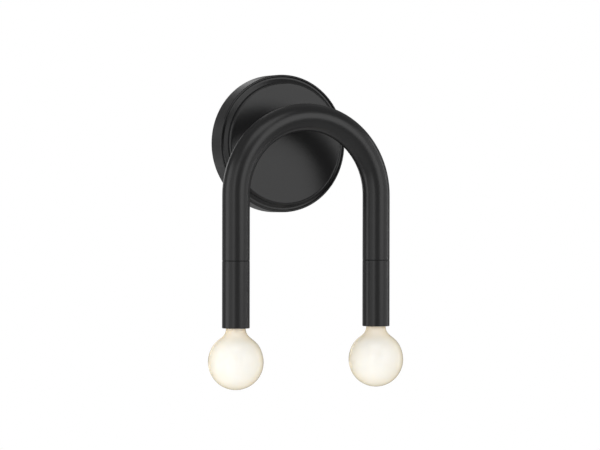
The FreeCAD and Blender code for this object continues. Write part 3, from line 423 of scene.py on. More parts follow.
def tinned_brass(tones):
    """Tin plate, soft and a little cloudy."""
    return clouded("tin_plate", pattern=(500.0, 3.0),
                   tones=((0.56, 0.54, 0.50), (0.74, 0.73, 0.70)),
                   roughness=(0.28, 0.2), depth=0.014, metallic=1.0)


def lead_green(tones):
    """Green insulation of the earth lead."""
    return insulation("green_insulation", (0.025, 0.20, 0.045), (0.035, 0.27, 0.065))


def lead_black(tones):
    """Black insulation of the live leads."""
    return insulation("black_insulation", (0.014, 0.014, 0.015), (0.024, 0.024, 0.025))


def lead_white(tones):
    """White insulation of the neutral leads."""
    return insulation("white_insulation", (0.70, 0.69, 0.66), (0.80, 0.79, 0.76))


def earth_green(tones):
    """Green dyed zinc of the earth screw."""
    return clouded("green_zinc", pattern=(700.0, 3.0),
                   tones=((0.02, 0.16, 0.05), (0.06, 0.32, 0.12)),
                   roughness=(0.26, 0.16), depth=0.010, metallic=0.85)


def holder_moulding(tones):
    """Dark moulded resin of the lampholder, with flow marks."""
    resin = Finish("holder_resin", specular_ior_level=0.5)
    flow_mark = resin.noise(1.0, 3.0, resin.stretched(240.0, 240.0, 60.0))
    grain = resin.noise(2800.0, 2.0)
    return resin.feed(
        base_color=flow_mark.blend((0.020, 0.017, 0.015), (0.042, 0.037, 0.033)),
        roughness=0.36 + 0.16 * grain,
        normal=resin.relief(grain, 0.014))


def shell_brass(tones):
    """Drawn brass of the lampholders' shells."""
    return drawn_metal("drawn_brass", tuple(tones.brass), darkest=0.72, lines=6000.0,
                       blotches=420.0, least_rough=0.20)


def opal_glass(tones):
    """Opal glass: milky body under a fire-polished gloss, painted tan towards the neck as shade
    under the cup and glow through the glass.
    """
    glass = Finish("opal_glass", subsurface_weight=0.35, subsurface_scale=0.004,
                   subsurface_radius=(1.0, 0.8, 0.6), coat_weight=1.0, coat_ior=1.06,
                   coat_roughness=0.04, coat_tint=(0.99, 0.94, 0.83, 1.0))
    neck_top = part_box("left_bulb_globe")[1].z
    # Painted shade and glow: the opal turns tan from the globe's shoulder up to the top of the
    # neck
    neck_shade_mask = glass.place.part("Z").limited(neck_top - tones.neck_shade_reach, neck_top)
    cloud = glass.noise(90.0, 2.0)
    return glass.feed(
        base_color=(neck_shade_mask + 0.06 * cloud).blend(tuple(tones.opal), tuple(tones.neck_shade_and_glow)),
        roughness=0.10 + 0.03 * cloud,
        normal=glass.relief(cloud, 0.020))


def cap_nickel(tones):
    """Nickel plate of the bulbs' drawn caps."""
    return drawn_metal("nickel_plate", tuple(tones.nickel), darkest=0.80, lines=7000.0,
                       blotches=460.0, least_rough=0.18)


def cap_insulator(tones):
    """Black glass between cap and tip, with small bubbles."""
    return clouded("black_glass", pattern=(1500.0, 2.0),
                   tones=((0.010, 0.010, 0.014), (0.030, 0.028, 0.036)),
                   roughness=(0.12, 0.12), depth=0.040, specular_ior_level=0.6)


def tip_solder(tones):
    """Solder: frosted, slumped and slightly pitted."""
    return clouded("solder", pattern=(1800.0, 3.0),
                   tones=((0.40, 0.40, 0.41), (0.66, 0.66, 0.67)),
                   roughness=(0.30, 0.25), depth=0.060, metallic=1.0)


def clear_glass(tones):
    """Clear glass of the stem, with drawn striae."""
    glass = Finish("clear_stem_glass", transmission_weight=0.9, specular_ior_level=0.5)
    striae = glass.noise(1.0, 2.0, glass.stretched(900.0, 900.0, 120.0))
    return glass.feed(
        base_color=striae.blend((0.90, 0.94, 0.93), (0.97, 0.99, 0.98)),
        roughness=0.02 + 0.04 * striae,
        normal=glass.relief(striae, 0.020))


def filament_wire(tones):
    """Drawn wire, dark and faintly crystalline."""
    return clouded("drawn_wire", pattern=(2600.0, 2.0),
                   tones=((0.20, 0.20, 0.21), (0.42, 0.42, 0.43)),
                   roughness=(0.32, 0.2), depth=0.010, metallic=1.0)


FINISHES = {maker.__name__: maker for maker in (
    black_finish, zinc_steel, black_screw, connector_shell, tinned_brass, lead_green, lead_black,
    lead_white, earth_green, holder_moulding, shell_brass, opal_glass, cap_nickel, cap_insulator,
    tip_solder, clear_glass, filament_wire)}
MADE = {}


def finish_of(slot):
    """The material of a slot, made when it is first asked for."""
    if slot not in MADE:
        MADE[slot] = FINISHES[slot](bpy.context.scene.light_colours)
    return MADE[slot]


def dress(slots):
    """Give every node of these slots its finish."""
    dressed = [name for name in NODES if SLOT_OF[name] in slots]
    if {SLOT_OF[name] for name in dressed} != slots:
        raise RuntimeError(f"no node has one of the slots {slots}")
    for name in slots:
        MADE[name] = FINISHES[name](bpy.context.scene.light_colours)
    for name in dressed:
        for held in NODES[name].material_slots:
            held.material = finish_of(SLOT_OF[name])


# ---- Surfaces ----
def put(name, data):
    """New object in the scene over a mesh, lamp or camera."""
    made = bpy.data.objects.new(name, data)
    bpy.context.scene.collection.objects.link(made)
    return made


def quads_of(rows, columns, wrap):
    """Faces between the points of a grid whose columns close round, and whose rows may."""
    here = np.arange(rows * columns).reshape(rows, columns)
    above = np.roll(here, -1, axis=0)
    quads = np.stack([here, np.roll(here, -1, axis=1), np.roll(above, -1, axis=1), above], axis=-1)
    return (quads if wrap else quads[:-1]).reshape(-1, 4)


def skin(name, points, slot, node, replaces=True, closed=True, crease=None):
    """Mesh object over a grid of places in metres, on the body that carries a node.

    Column j is joined to column j + 1 and the last to the first. The rows close in the same way,
    as on a doughnut; where they do not, a flat face closes each end. The normals face outwards,
    and edges that bend by more than the crease, in degrees, stay sharp.
    """
    rows, columns = points.shape[:2]
    faces = quads_of(rows, columns, closed).tolist()
    if not closed:
        faces += [list(range(columns))[::-1], list(range((rows - 1) * columns, rows * columns))]
    mesh = bpy.data.meshes.new(name)
    mesh.from_pydata(points.reshape(-1, 3), [], faces)
    build = bmesh.new()
    build.from_mesh(mesh)
    bmesh.ops.recalc_face_normals(build, faces=build.faces)
    build.to_mesh(mesh)
    build.free()
    mesh.shade_smooth()
    if crease:
        mesh.set_sharp_from_angle(angle=math.radians(crease))
    mesh.materials.append(finish_of(slot))
    piece = put(name, mesh)
    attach(piece, NODES[node]["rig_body"])
    if replaces:
        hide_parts(node)


def turns(count):
    """Equal turns once round, as a row to set against a column of profile values."""
    return np.linspace(0.0, 2 * np.pi, count, endpoint=False)[None, :]


def around_z(centre, radius, height, angles):
    """Places at a radius and height about an upright axis through a centre."""
    return np.stack([radius * np.cos(angles), radius * np.sin(angles), height], axis=-1) + centre


def around_y(centre, radius, depth, angles):
    """Places at a radius and depth about an axis along Y through a centre."""
    return np.stack([radius * np.cos(angles), depth, radius * np.sin(angles)], axis=-1) + centre


def smooth(values, low, high):
    """Smooth step from 0 at low to 1 at high."""
    way = np.clip((values - low) / (high - low), 0.0, 1.0)
    return way * way * (3.0 - 2.0 * way)


def groove(height, angles, pitch, depth):
    """Depth of a right-handed round thread below its crest, climbing one pitch a turn."""
    return depth * (0.5 - 0.5 * np.cos(2 * np.pi * height / pitch - angles))


def ramp(*levels):
    """A column of values that runs evenly from each level to the next: level, steps, level ..."""
    parts = [np.linspace(levels[k], levels[k + 2], levels[k + 1], endpoint=False)
             for k in range(0, len(levels) - 2, 2)]
    return np.concatenate([*parts, [levels[-1]]])[:, None]


# ---- Turned and threaded pieces ----
RUN_OUT = 1.2 * MM  # height over which a thread fades in or out
BORE_CHAMFER = 0.4 * MM  # at both ends of a nut's bore
PLAY = 0.05 * MM  # between a nut's bore and the thread in it
SEAT = 0.01 * MM  # between the bulb's glass and its cap
NUT_FACE, HEAD_FACE = 0.97, 0.95  # flat end of a hexagon, as a share of its width across flats
NUT_SLOPE = math.tan(math.radians(30.0))  # fall of that chamfer over its width
# Points once round each kind of piece, and rows to one turn of the threads on nipple and arm
FINE_ROUND, LAMP_ROUND, HEXAGON_ROUND, GLOBE_ROUND, BAND_ROUND = 48, 72, 96, 128, 192
NIPPLE_ROWS, TAIL_ROWS = 10, 12


def rings(angles, *runs):
    """Radii and heights of a section, run after run; either may be a number, column or grid."""
    filled = [np.stack(np.broadcast_arrays(radius + 0.0 * angles, height + 0.0 * angles))
              for radius, height in runs]
    return np.concatenate(filled, axis=1)


def upright(node):
    """Foot of a node's axis, its radius and its height."""
    low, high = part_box(node)
    foot = np.array([(low.x + high.x) / 2, (low.y + high.y) / 2, low.z])
    return foot, (high.x - low.x) / 2, high.z - low.z


def make_screw_cap(side, sizes):
    """Bulb's cap: plain skirt, rolled round thread and a shoulder drawn in to the insulator.

    The radius falls below its crest by half a cosine of the height less the angle, faded out at
    the skirt and at the shoulder, which is a quarter of an ellipse.
    """
    node = f"{side}_bulb_cap"
    foot, crest, top = upright(node)
    crown = upright(f"{side}_bulb_insulator")[1]
    shoulder = top - sizes.cap_shoulder
    root = crest - sizes.cap_depth
    sheet, hole = sizes.cap_sheet, sizes.cap_hole
    angles = turns(LAMP_ROUND)

    def outside(height):
        """Radius of the outer skin at a height."""
        begun = smooth(height, sizes.cap_skirt, sizes.cap_skirt + RUN_OUT)
        ended = smooth(height, shoulder - RUN_OUT, shoulder)
        quarter = np.sqrt(1.0 - np.clip((height - shoulder) / sizes.cap_shoulder, 0.0, 1.0) ** 2)
        plain = crest - sizes.cap_step * (1.0 - begun) - sizes.cap_depth * ended
        plain = np.where(height > shoulder, crown + (root - crown) * quarter, plain)
        thread = groove(height, angles, sizes.lamp_pitch, sizes.cap_depth)
        return plain - thread * begun * (1.0 - ended)

    up = ramp(0.0, 110, top)
    down = ramp(top - sheet, 100, 0.0)
    within = np.minimum(outside(down), outside(np.minimum(down + sheet, top))) - sheet
    radius, height = rings(
        angles,
        (outside(up), up),
        (ramp(crown - sheet, 3, hole), top),
        (ramp(hole, 3, crown - 2 * sheet), top - sheet),
        (within, down))
    skin(f"{side}_screw_cap", around_z(foot, radius, height, angles), "cap_nickel", node)


def make_globe(side, sizes):
    """Opal globe: a sphere to just above its middle, then one cubic Bezier curve up to the neck.

    The curve leaves the sphere along its tangent and comes into the neck upright. The inner skin
    is the same section, set in along its normals by the wall.
    """
    node, cap = f"{side}_bulb_globe", f"{side}_bulb_cap"
    foot, globe, top = upright(node)
    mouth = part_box(cap)[0].z - foot[2]
    throat = upright(cap)[1] - sizes.cap_step - sizes.cap_sheet - SEAT
    leave, wall = sizes.globe_leave, sizes.glass_wall
    pole = 0.002 - math.pi / 2  # the sphere starts just off its lowest point
    ball = ramp(pole, 64, leave)[:-1]
    way = ramp(0.0, 40, 1.0)
    start = globe * np.array([math.cos(leave), math.sin(leave)])
    pulled = start + sizes.shoulder_pull * np.array([-math.sin(leave), math.cos(leave)])
    neck = np.array([sizes.neck_radius, sizes.neck_rise])
    below = neck - np.array([0.0, sizes.neck_pull])
    curve = ((1 - way) ** 3 * start + 3 * (1 - way) ** 2 * way * pulled
             + 3 * (1 - way) * way ** 2 * below + way ** 3 * neck)
    outer = np.concatenate([globe * np.hstack([np.cos(ball), np.sin(ball)]), curve])
    along = np.gradient(outer, axis=0)
    along /= np.linalg.norm(along, axis=1, keepdims=True)
    outwards = np.stack([along[:, 1], -along[:, 0]], axis=-1)
    inner = (outer - wall * outwards)[::-1]
    shoulder = mouth - sizes.neck_shoulder
    angles = turns(GLOBE_ROUND)
    radius, height = rings(
        angles,
        (outer[:, :1], globe + outer[:, 1:]),
        (ramp(sizes.neck_radius, 6, throat), ramp(shoulder, 6, mouth)),
        (ramp(throat, 2, throat - wall), top),
        (ramp(throat - wall, 6, sizes.neck_radius - wall), ramp(mouth, 6, shoulder)),
        (inner[:, :1], globe + inner[:, 1:]))
    skin(f"{side}_opal_globe", around_z(foot, radius, height, angles), "opal_glass", node,
         closed=False, crease=60.0)


def make_thread_shell(side, sizes):
    """Brass shell of the lampholder: rolled thread with a plain lip, and a flange at the top.

    The radius rises above its root by the thread's half cosine, faded out at lip and flange.
    """
    node = f"{side}_screw_shell"
    foot, outer, _ = upright(node)
    sheet, hole, flange = sizes.shell_sheet, sizes.cap_hole, sizes.shell_height
    inner = outer - sheet - sizes.shell_depth
    angles = turns(LAMP_ROUND)

    def inside(height):
        """Radius of the inner skin at a height."""
        begun = smooth(height, 0.0, RUN_OUT)
        ended = smooth(height, flange - 2 * RUN_OUT, flange - RUN_OUT)
        thread = groove(height, angles, sizes.lamp_pitch, sizes.shell_depth)
        return inner + (sizes.shell_depth - thread) * begun * (1.0 - ended)

    up = ramp(0.0, 120, flange)
    down = ramp(flange - sheet, 118, 0.0)
    radius, height = rings(
        angles,
        (inside(up) + sheet, up),
        (ramp(inner, 3, hole), flange),
        (ramp(hole, 3, inner - sheet), flange - sheet),
        (inside(down), down))
    skin(f"{side}_thread_shell", around_z(foot, radius, height, angles), "shell_brass", node)


def make_tab(side, sizes):
    """Brass tab bent over from the shell's flange to the end of its lead.

    Its middle line goes up, round a quarter turn and in towards the axis; the section is a
    rectangle with its corners taken off.
    """
    node = f"{side}_screw_shell"
    foot, _, top = upright(node)
    half, wide, edge = sizes.tab_sheet / 2, sizes.tab_width / 2, sizes.tab_edge
    out, bend = sizes.tab_out, sizes.tab_sheet
    turn = ramp(0.0, 6, math.pi / 2)[:, 0]
    start, end = sizes.shell_height - sizes.shell_sheet, top - half
    across = np.concatenate([[out], out - bend + bend * np.cos(turn), [sizes.tab_end]])
    height = np.concatenate([[start], end - bend + bend * np.sin(turn), [end]])
    lean = np.concatenate([[0.0], turn, [math.pi / 2]])
    corners = np.array([(wide, half - edge), (wide - edge, half), (edge - wide, half),
                        (-wide, half - edge), (-wide, edge - half), (edge - wide, -half),
                        (wide - edge, -half), (wide, edge - half)])
    beside, above = corners[None, :, 0], corners[None, :, 1]
    reach = across[:, None] + above * np.cos(lean)[:, None]
    places = np.stack([foot[0] - SIDES[side] * reach, foot[1] + beside + 0.0 * reach,
                       foot[2] + height[:, None] + above * np.sin(lean)[:, None]], axis=-1)
    skin(f"{side}_shell_tab", places, "shell_brass", node, closed=False, crease=35.0)


def hexagon(angles, flats, face, off_face):
    """Radius of a hexagon, or of its chamfer at a distance off the flat end if that is nearer in.

    A side is half the width across flats over the cosine of the angle off its middle.
    """
    side = flats / 2 / np.cos(np.mod(angles, math.pi / 3) - math.pi / 6)
    return np.minimum(side, flats / 2 * face + off_face / NUT_SLOPE)


def nut_rings(angles, flats, thick, bore):
    """Hexagon nut, chamfered at both faces, with a chamfered bore."""
    level = ramp(0.0, 14, thick)
    return rings(
        angles,
        (hexagon(angles, flats, NUT_FACE, np.minimum(level, thick - level)), level),
        (bore + BORE_CHAMFER, thick),
        (bore, ramp(thick - BORE_CHAMFER, 6, BORE_CHAMFER)),
        (bore + BORE_CHAMFER, 0.0))


def make_arm_nut(sizes):
    """Chamfered nut on the arm's tail."""
    low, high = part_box("arm_nut")
    angles = turns(HEXAGON_ROUND)
    radius, depth = nut_rings(angles, high.z - low.z, high.y - low.y, sizes.tail_radius + PLAY)
    centre = (0.0, low.y, (low.z + high.z) / 2)
    skin("arm_hex_nut", around_y(centre, radius, depth, angles), "zinc_steel", "arm_nut",
         crease=25.0)


def make_cup_nut(side):
    """Chamfered lock nut on a nipple, up inside the cup."""
    node = f"{side}_cup_nut"
    low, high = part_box(node)
    foot = upright(node)[0]
    bore = upright(f"{side}_cup_nipple")[1] + PLAY
    angles = turns(HEXAGON_ROUND)
    radius, height = nut_rings(angles, high.y - low.y, high.z - low.z, bore)
    skin(f"{side}_lock_nut", around_z(foot, radius, height, angles), "zinc_steel", node,
         crease=25.0)


def make_nipple(side, sizes):
    """Nipple threaded from end to end, its ends chamfered to the thread's root."""
    node = f"{side}_cup_nipple"
    foot, crest, top = upright(node)
    angles = turns(FINE_ROUND)
    height = ramp(0.0, round(NIPPLE_ROWS * top / sizes.fine_pitch), top)
    cut = crest - groove(height, angles, sizes.fine_pitch, sizes.fine_depth)
    lead_in = crest - sizes.fine_depth + np.minimum(height, top - height)
    radius, level = rings(
        angles,
        (np.minimum(cut, lead_in), height),
        (sizes.nipple_bore, ramp(top, 4, 0.0)))
    skin(f"{side}_threaded_nipple", around_z(foot, radius, level, angles), "zinc_steel", node,
         crease=60.0)


def make_earth_screw(sizes):
    """Earth screw: threaded shank, toothed flange and chamfered hexagon head with a dished top.

    The flange's face is cut back between its teeth by half a cosine of the angle.
    """
    low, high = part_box("earth_screw")
    axis = ((low.x + high.x) / 2, 0.0, (low.z + high.z) / 2)
    flange_radius, shank = (high.x - low.x) / 2, sizes.screw_radius
    tip, end = high.y, low.y
    head = end + sizes.head_height
    flange = head + sizes.head_flange
    rim, teeth, tooth_depth = 0.2 * MM, 24.0, 0.12 * MM
    dish, dish_middle, dish_depth = 2.6 * MM, 0.2 * MM, 0.3 * MM
    angles = turns(HEXAGON_ROUND)
    along = ramp(tip, 40, flange)
    cut = groove(-along, angles, sizes.screw_pitch, sizes.screw_depth)
    lead_in = shank - sizes.screw_depth + (tip - along)
    cut_back = tooth_depth * (0.5 - 0.5 * np.cos(teeth * angles))
    sides = ramp(head, 5, end)
    radius, depth = rings(
        angles,
        (np.minimum(shank - cut, lead_in), along),
        (ramp(shank + rim, 3, flange_radius), flange - cut_back),
        (flange_radius, (flange + head) / 2),
        (flange_radius - rim, head),
        (hexagon(angles, sizes.head_flats, HEAD_FACE, sides - end), sides),
        (ramp(dish, 4, dish_middle), end + dish_depth))
    skin("toothed_earth_screw", around_y(axis, radius, depth, angles), "earth_green",
         "earth_screw", closed=False, crease=40.0)


# ---- Arm, weld and bevel ----
def back_of_tube(x, z):
    """Depth of the bent tube's back at a place: a doughnut, lifted off its ring by its section."""
    low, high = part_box("arch_tube")
    tube = (high.y - low.y) / 2
    bend = (high.x - low.x) / 2 - tube
    off_ring = np.hypot(x, z - (high.z - tube - bend)) - bend
    return (low.y + high.y) / 2 + np.sqrt(tube ** 2 - off_ring ** 2)


def make_arm(sizes):
    """Arm: coped end on the bent tube, shoulder against the canopy, threaded tail behind it."""
    low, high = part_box("arm")
    axis = (0.0, 0.0, (low.z + high.z) / 2)
    outer, tail, bore = (high.x - low.x) / 2, sizes.tail_radius, sizes.arm_bore
    shoulder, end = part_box("canopy")[0].y, high.y
    angles = turns(HEXAGON_ROUND)

    def cope(radius):
        """Depth of the bent tube's back all round the arm at a radius."""
        return back_of_tube(radius * np.cos(angles), axis[2] + radius * np.sin(angles))

    way = ramp(0.0, 8, 1.0)
    face = ramp(bore, 6, outer)[1:-1]
    rows = round(TAIL_ROWS * (end - shoulder) / sizes.fine_pitch)
    screwed = ramp(shoulder, rows, end)
    cut = groove(-screwed, angles, sizes.fine_pitch, sizes.fine_depth)
    cut = cut * smooth(screwed, shoulder + RUN_OUT, shoulder + 2 * RUN_OUT)
    lead_in = tail - sizes.fine_depth + (end - screwed)
    radius, depth = rings(
        angles,
        (outer, cope(outer) + (shoulder - cope(outer)) * way),
        (np.minimum(tail - cut, lead_in), screwed),
        (bore, end + (cope(bore) - end) * way),
        (face, cope(face)))
    skin("coped_arm", around_y(axis, radius, depth, angles), "black_finish", "arm", crease=50.0)


def make_weld(sizes):
    """Painted weld of arm and bent tube: a hollow fillet, faintly rippled, sunk into both.

    At an angle round the arm its section is a quarter circle whose centre lies one leg out from
    the arm and one leg off the tube; the ripple is a sine of the angle.
    """
    low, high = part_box("arm")
    axis = (0.0, 0.0, (low.z + high.z) / 2)
    outer, leg = (high.x - low.x) / 2, sizes.weld_leg
    sunk, ripple_height, ripples = 0.3 * MM, 0.04 * MM, 38.0
    angles = turns(BAND_ROUND)
    sweep = ramp(0.0, 8, math.pi / 2)
    ripple = ripple_height * np.sin(2.0 * sweep) * np.sin(ripples * angles)
    radius = np.concatenate([outer + leg * (1.0 - np.cos(sweep)) + ripple,
                             np.full((1, angles.size), outer - sunk)])
    off = np.concatenate([leg * (1.0 - np.sin(sweep)) + ripple, np.full((1, angles.size), -sunk)])
    depth = off + back_of_tube(radius * np.cos(angles), axis[2] + radius * np.sin(angles))
    skin("arm_weld", around_y(axis, radius, depth, angles), "black_finish", "arm",
         replaces=False, crease=60.0)


def make_bevel(sizes):
    """Sloping band of the canopy, between its rolled bead and the side of its raised disc.

    The section is a triangle on the flat ground between them, sunk into both.
    """
    sunk = 0.2 * MM
    angles = turns(BAND_ROUND)
    foot = -sizes.bevel_foot
    radius, depth = rings(
        angles,
        (ramp(sizes.bevel_outer, 6, sizes.bevel_inner), ramp(foot, 6, foot - sizes.bevel_rise)),
        (sizes.bevel_inner - sunk, foot + sunk),
        (sizes.bevel_outer, foot + sunk))
    skin("canopy_bevel", around_y((0.0, 0.0, 0.0), radius, depth, angles), "black_finish",
         "canopy", replaces=False, crease=20.0)


# ---- Operators ----
class WALLLIGHT_OT_coated(bpy.types.Operator):
    """Powder coat on canopy, arm, tube and cups, black oxide on the canopy's screws"""

    bl_idname = "walllight.coated"
    bl_label = "Black parts"

    def execute(self, context):
        dress({"black_finish", "black_screw"})
        return {"FINISHED"}


class WALLLIGHT_OT_plated(bpy.types.Operator):
    """Zinc, tin and green plate on the strap, the fixings and the earth bond"""

    bl_idname = "walllight.plated"
    bl_label = "Plated parts"

    def execute(self, context):
        dress({"zinc_steel", "tinned_brass", "earth_green"})
        return {"FINISHED"}


class WALLLIGHT_OT_wiring(bpy.types.Operator):
    """Insulation of the leads and plastic of the connectors"""

    bl_idname = "walllight.wiring"
    bl_label = "Wiring"

    def execute(self, context):
        dress({"connector_shell", "lead_green", "lead_black", "lead_white"})
        return {"FINISHED"}


class WALLLIGHT_OT_lampholders(bpy.types.Operator):
    """Resin and brass of the lampholders"""

    bl_idname = "walllight.lampholders"
    bl_label = "Lampholders"

    def execute(self, context):
        dress({"holder_moulding", "shell_brass"})
        return {"FINISHED"}


class WALLLIGHT_OT_bulbs(bpy.types.Operator):
    """Finishes of glass, cap, insulator, tip, stem and filament of both bulbs"""

    bl_idname = "walllight.bulbs"
    bl_label = "Bulbs"

    def execute(self, context):
        dress({"opal_glass", "cap_nickel", "cap_insulator", "tip_solder", "clear_glass",
               "filament_wire"})
        return {"FINISHED"}


class WALLLIGHT_OT_lamp_fittings(bpy.types.Operator):
    """Opal globe, threaded cap, and threaded brass shell with its tab, on each side"""

    bl_idname = "walllight.lamp_fittings"
    bl_label = "Globes, caps and shells"

    def execute(self, context):
        for side in SIDES:
            for make in (make_globe, make_screw_cap, make_thread_shell, make_tab):
                make(side, context.scene.light_sizes)
        return {"FINISHED"}


class WALLLIGHT_OT_fixings(bpy.types.Operator):
    """Chamfered nuts, threaded nipples and the earth screw"""

    bl_idname = "walllight.fixings"
    bl_label = "Nuts, nipples and screw"

    def execute(self, context):
        sizes = context.scene.light_sizes
        make_arm_nut(sizes)
        make_earth_screw(sizes)
        for side in SIDES:
            make_cup_nut(side)
            make_nipple(side, sizes)
        return {"FINISHED"}


class WALLLIGHT_OT_arm(bpy.types.Operator):
    """Coped and threaded arm with its painted weld"""

    bl_idname = "walllight.arm"
    bl_label = "Arm and weld"

    def execute(self, context):
        make_arm(context.scene.light_sizes)
        make_weld(context.scene.light_sizes)
        return {"FINISHED"}


class WALLLIGHT_OT_bevel(bpy.types.Operator):
    """Sloping band round the canopy's raised disc"""

    bl_idname = "walllight.bevel"
    bl_label = "Canopy bevel"

    def execute(self, context):
        make_bevel(context.scene.light_sizes)
        return {"FINISHED"}


class WALLLIGHT_OT_studio(bpy.types.Operator):
    """Floor, background, lamps and camera"""

    bl_idname = "walllight.studio"
    bl_label = "Studio"

    def execute(self, context):
        settings = context.scene.light_studio
        lay_floor(settings)
        light_room(settings)
        hang_lamps()
        aim_camera(settings)
        return {"FINISHED"}


# ---- Studio ----
WHITE = (1.0, 1.0, 1.0, 1.0)
FLOOR_HALF = 6.0  # metres from the middle to each edge
FLOOR_LIT, FLOOR_SEEN = (0.35,) * 3, (0.82,) * 3  # where it lights the object, and to the camera

# The room that gloss shows. A pair is a soft edge: two values of a component of the direction,
# from where the card begins to where it is full, or from where it fades to where it has gone.
TOWARDS_WALL = (0.55, 0.65)
MIDDLE_CARDS_RISE = ((0.02, 0.10), (0.42, 0.50))  # both up and down from level
MIDDLE_CARDS_SLOPE, MIDDLE_CARDS_TOP = 0.6, (0.29, 0.33)
MIDDLE_CARDS_CENTRE, MIDDLE_CARDS_ENDS = 0.04, (0.25, 0.34)
HIGH_CARD_RISE = ((0.47, 0.51), (0.61, 0.65))
HIGH_CARD_ACROSS = ((0.06, 0.10), (0.24, 0.28))
DIM_RISE, DIM_SHARE = (0.16, 0.30), 0.55  # the room dims upwards, towards the wall


def lay_floor(settings):
    """Pale floor well below the light, open to the camera from below."""
    height = CAD_BOX[0].z - settings.floor_drop
    corners = [(FLOOR_HALF * x, FLOOR_HALF * y, height)
               for x, y in ((-1, -1), (1, -1), (1, 1), (-1, 1))]
    mesh = bpy.data.meshes.new("studio_floor")
    mesh.from_pydata(corners, [], [(0, 1, 2, 3)])
    floor = put("studio_floor", mesh)
    material = bpy.data.materials.new("pale_floor")
    flow = emptied(material)
    under = flow.node("ShaderNodeNewGeometry", {}, outlet="Backfacing")
    seen = flow.node("ShaderNodeLightPath", {}, outlet="Is Camera Ray")
    matt = flow.node("ShaderNodeBsdfDiffuse", {"Color": seen.blend(FLOOR_LIT, FLOOR_SEEN)})
    clear = flow.node("ShaderNodeBsdfTransparent", {})
    surface = flow.node("ShaderNodeMixShader", {0: under, 1: matt, 2: clear})
    flow.node("ShaderNodeOutputMaterial", {"Surface": surface})
    mesh.materials.append(material)


def light_room(settings):
    """White background for the camera and through glass, a dimmer room with white cards in gloss.

    The cards lie towards the wall: one just above level, with a sloping top edge, one just below
    level, and one higher up to the right. A card is a product of soft steps of the direction.
    """
    world = bpy.data.worlds.new("studio")
    bpy.context.scene.world = world
    flow = emptied(world)
    camera, glossy, through = (flow.node("ShaderNodeLightPath", {}, outlet=f"Is {kind} Ray")
                               for kind in ("Camera", "Glossy", "Transmission"))
    direction = flow.node("ShaderNodeTexCoord", {}, outlet="Generated")
    across, wallwards, height = (direction.part(axis) for axis in "XYZ")
    by_wall = wallwards.limited(*TOWARDS_WALL)
    cards = (by_wall * abs(height).between(*MIDDLE_CARDS_RISE)
             * (1.0 - (height - MIDDLE_CARDS_SLOPE * across).limited(*MIDDLE_CARDS_TOP))
             * (1.0 - abs(across - MIDDLE_CARDS_CENTRE).limited(*MIDDLE_CARDS_ENDS)))
    high_card = by_wall * height.between(*HIGH_CARD_RISE) * across.between(*HIGH_CARD_ACROSS)
    dim = by_wall * height.limited(*DIM_RISE)
    room = settings.gloss_room * (1.0 - DIM_SHARE * dim)
    in_gloss = glossy * (room + (1.0 - settings.gloss_room) * (cards + high_card))
    white = camera.at_least(through)
    elsewhere = (1.0 - white.at_least(glossy)) * settings.ambient
    light = flow.node("ShaderNodeBackground",
                      {"Color": WHITE, "Strength": white.at_least(in_gloss) + elsewhere})
    flow.node("ShaderNodeOutputWorld", {"Surface": light})


LAMPS = (
    # name, degrees round to the right, degrees up, metres off, width, height, brightness, and
    # whether gloss shows it
    ("key_right", 24.0, 13.5, 2.2, 1.45, 1.55, 1.32, True),
    ("wide_right", 62.0, 5.0, 2.4, 1.3, 2.0, 0.55, True),
    ("strip_right", 88.0, 0.0, 2.0, 0.28, 2.0, 2.0, True),
    ("strip_left", -101.0, 0.0, 2.0, 1.15, 2.2, 1.2, True),
    ("wide_left", -60.0, 5.0, 2.4, 2.0, 2.0, 0.5, True),
    ("fill_front", -43.0, 5.0, 2.2, 0.65, 1.8, 0.62, True),
    ("top_front", -22.0, 52.0, 2.0, 1.4, 1.1, 1.1, True),
    ("even_left", -92.0, 0.0, 2.2, 1.6, 2.0, 1.15, False),
    ("even_low", -20.0, -60.0, 0.9, 1.2, 1.2, 1.45, False),
)


def hang_lamps():
    """Soft boxes round the light, aimed at its middle; a box of brightness 1 looks white."""
    aim = (CAD_BOX[0] + CAD_BOX[1]) / 2
    for name, round_by, up_by, distance, width, height, brightness, in_gloss in LAMPS:
        around, up = math.radians(round_by), math.radians(up_by)
        away = Vector((math.sin(around) * math.cos(up), -math.cos(around) * math.cos(up),
                       math.sin(up)))
        light = bpy.data.lights.new(name, "AREA")
        light.shape = "RECTANGLE"
        light.size, light.size_y = width, height
        light.energy = brightness * math.pi * width * height
        lamp = put(name, light)
        lamp.location = aim + away * distance
        lamp.rotation_euler = away.to_track_quat("Z", "Y").to_euler()
        lamp.visible_camera = False
        lamp.visible_glossy = in_gloss


SENSOR, CLIP = 36.0, (0.1, 50.0)  # millimetres, and the nearest and farthest metre seen


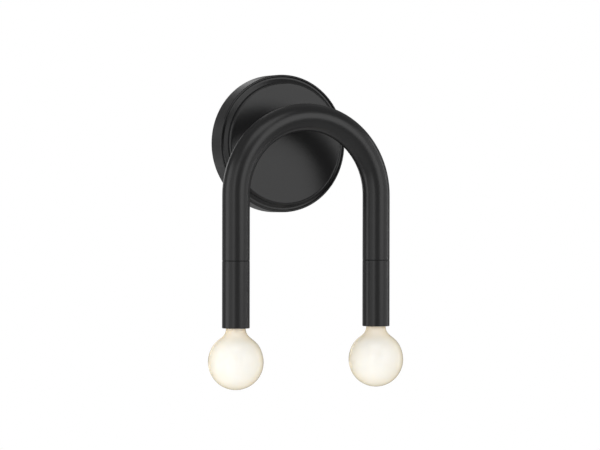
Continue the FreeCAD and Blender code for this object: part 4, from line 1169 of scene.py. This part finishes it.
def aim_camera(settings):
    """Camera at the photograph's angle, from its yaw, pitch, roll, distance and target."""
    yaw, pitch, roll = settings.yaw, settings.pitch, settings.roll
    ahead = np.array([math.sin(yaw) * math.cos(pitch), math.cos(yaw) * math.cos(pitch),
                      -math.sin(pitch)])
    right = np.array([math.cos(yaw), -math.sin(yaw), 0.0])
    up = np.cross(right, ahead)
    leant_right = math.cos(roll) * right + math.sin(roll) * up
    leant_up = math.cos(roll) * up - math.sin(roll) * right
    target = np.array([settings.target_x, settings.target_y, settings.target_z])
    matrix = np.eye(4)
    matrix[:3] = np.stack([leant_right, leant_up, -ahead, target - settings.distance * ahead],
                          axis=1)
    data = bpy.data.cameras.new("camera")
    data.sensor_width, data.lens = SENSOR, settings.lens
    data.clip_start, data.clip_end = CLIP
    camera = put("camera", data)
    camera.matrix_world = Matrix(matrix.tolist())
    bpy.context.scene.camera = camera
    bpy.context.scene.view_settings.view_transform = "Standard"


class WALLLIGHT_PT_panel(bpy.types.Panel):
    """Sidebar panel with every step, its sizes and its colours"""

    bl_idname = "WALLLIGHT_PT_panel"
    bl_label = "Wall Light"
    bl_space_type = "VIEW_3D"
    bl_region_type = "UI"
    bl_category = "Wall Light"

    def draw(self, context):
        for operator in OPERATORS:
            self.layout.operator(operator.bl_idname)
        for group in GROUPS:
            settings = getattr(context.scene, group)
            box = self.layout.box()
            for name in settings.bl_rna.properties.keys():
                if name not in {"rna_type", "name"}:
                    box.prop(settings, name)


OPERATORS = (WALLLIGHT_OT_coated, WALLLIGHT_OT_plated, WALLLIGHT_OT_wiring,
             WALLLIGHT_OT_lampholders, WALLLIGHT_OT_bulbs, WALLLIGHT_OT_lamp_fittings,
             WALLLIGHT_OT_fixings, WALLLIGHT_OT_arm, WALLLIGHT_OT_bevel, WALLLIGHT_OT_studio)
GROUPS = {"light_sizes": PartSizes, "light_colours": FinishColours,
          "light_studio": StudioSettings}


def register():
    """Add the property groups, operators and panel."""
    for name, group in GROUPS.items():
        bpy.utils.register_class(group)
        setattr(bpy.types.Scene, name, bpy.props.PointerProperty(type=group))
    for kind in (*OPERATORS, WALLLIGHT_PT_panel):
        bpy.utils.register_class(kind)


def unregister():
    """Take them away again."""
    for kind in (WALLLIGHT_PT_panel, *reversed(OPERATORS)):
        bpy.utils.unregister_class(kind)
    for name, group in GROUPS.items():
        delattr(bpy.types.Scene, name)
        bpy.utils.unregister_class(group)


def main():
    """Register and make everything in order."""
    register()
    for operator in OPERATORS:
        group, name = operator.bl_idname.split(".")
        getattr(getattr(bpy.ops, group), name)()


if __name__ == "__main__":
    main()
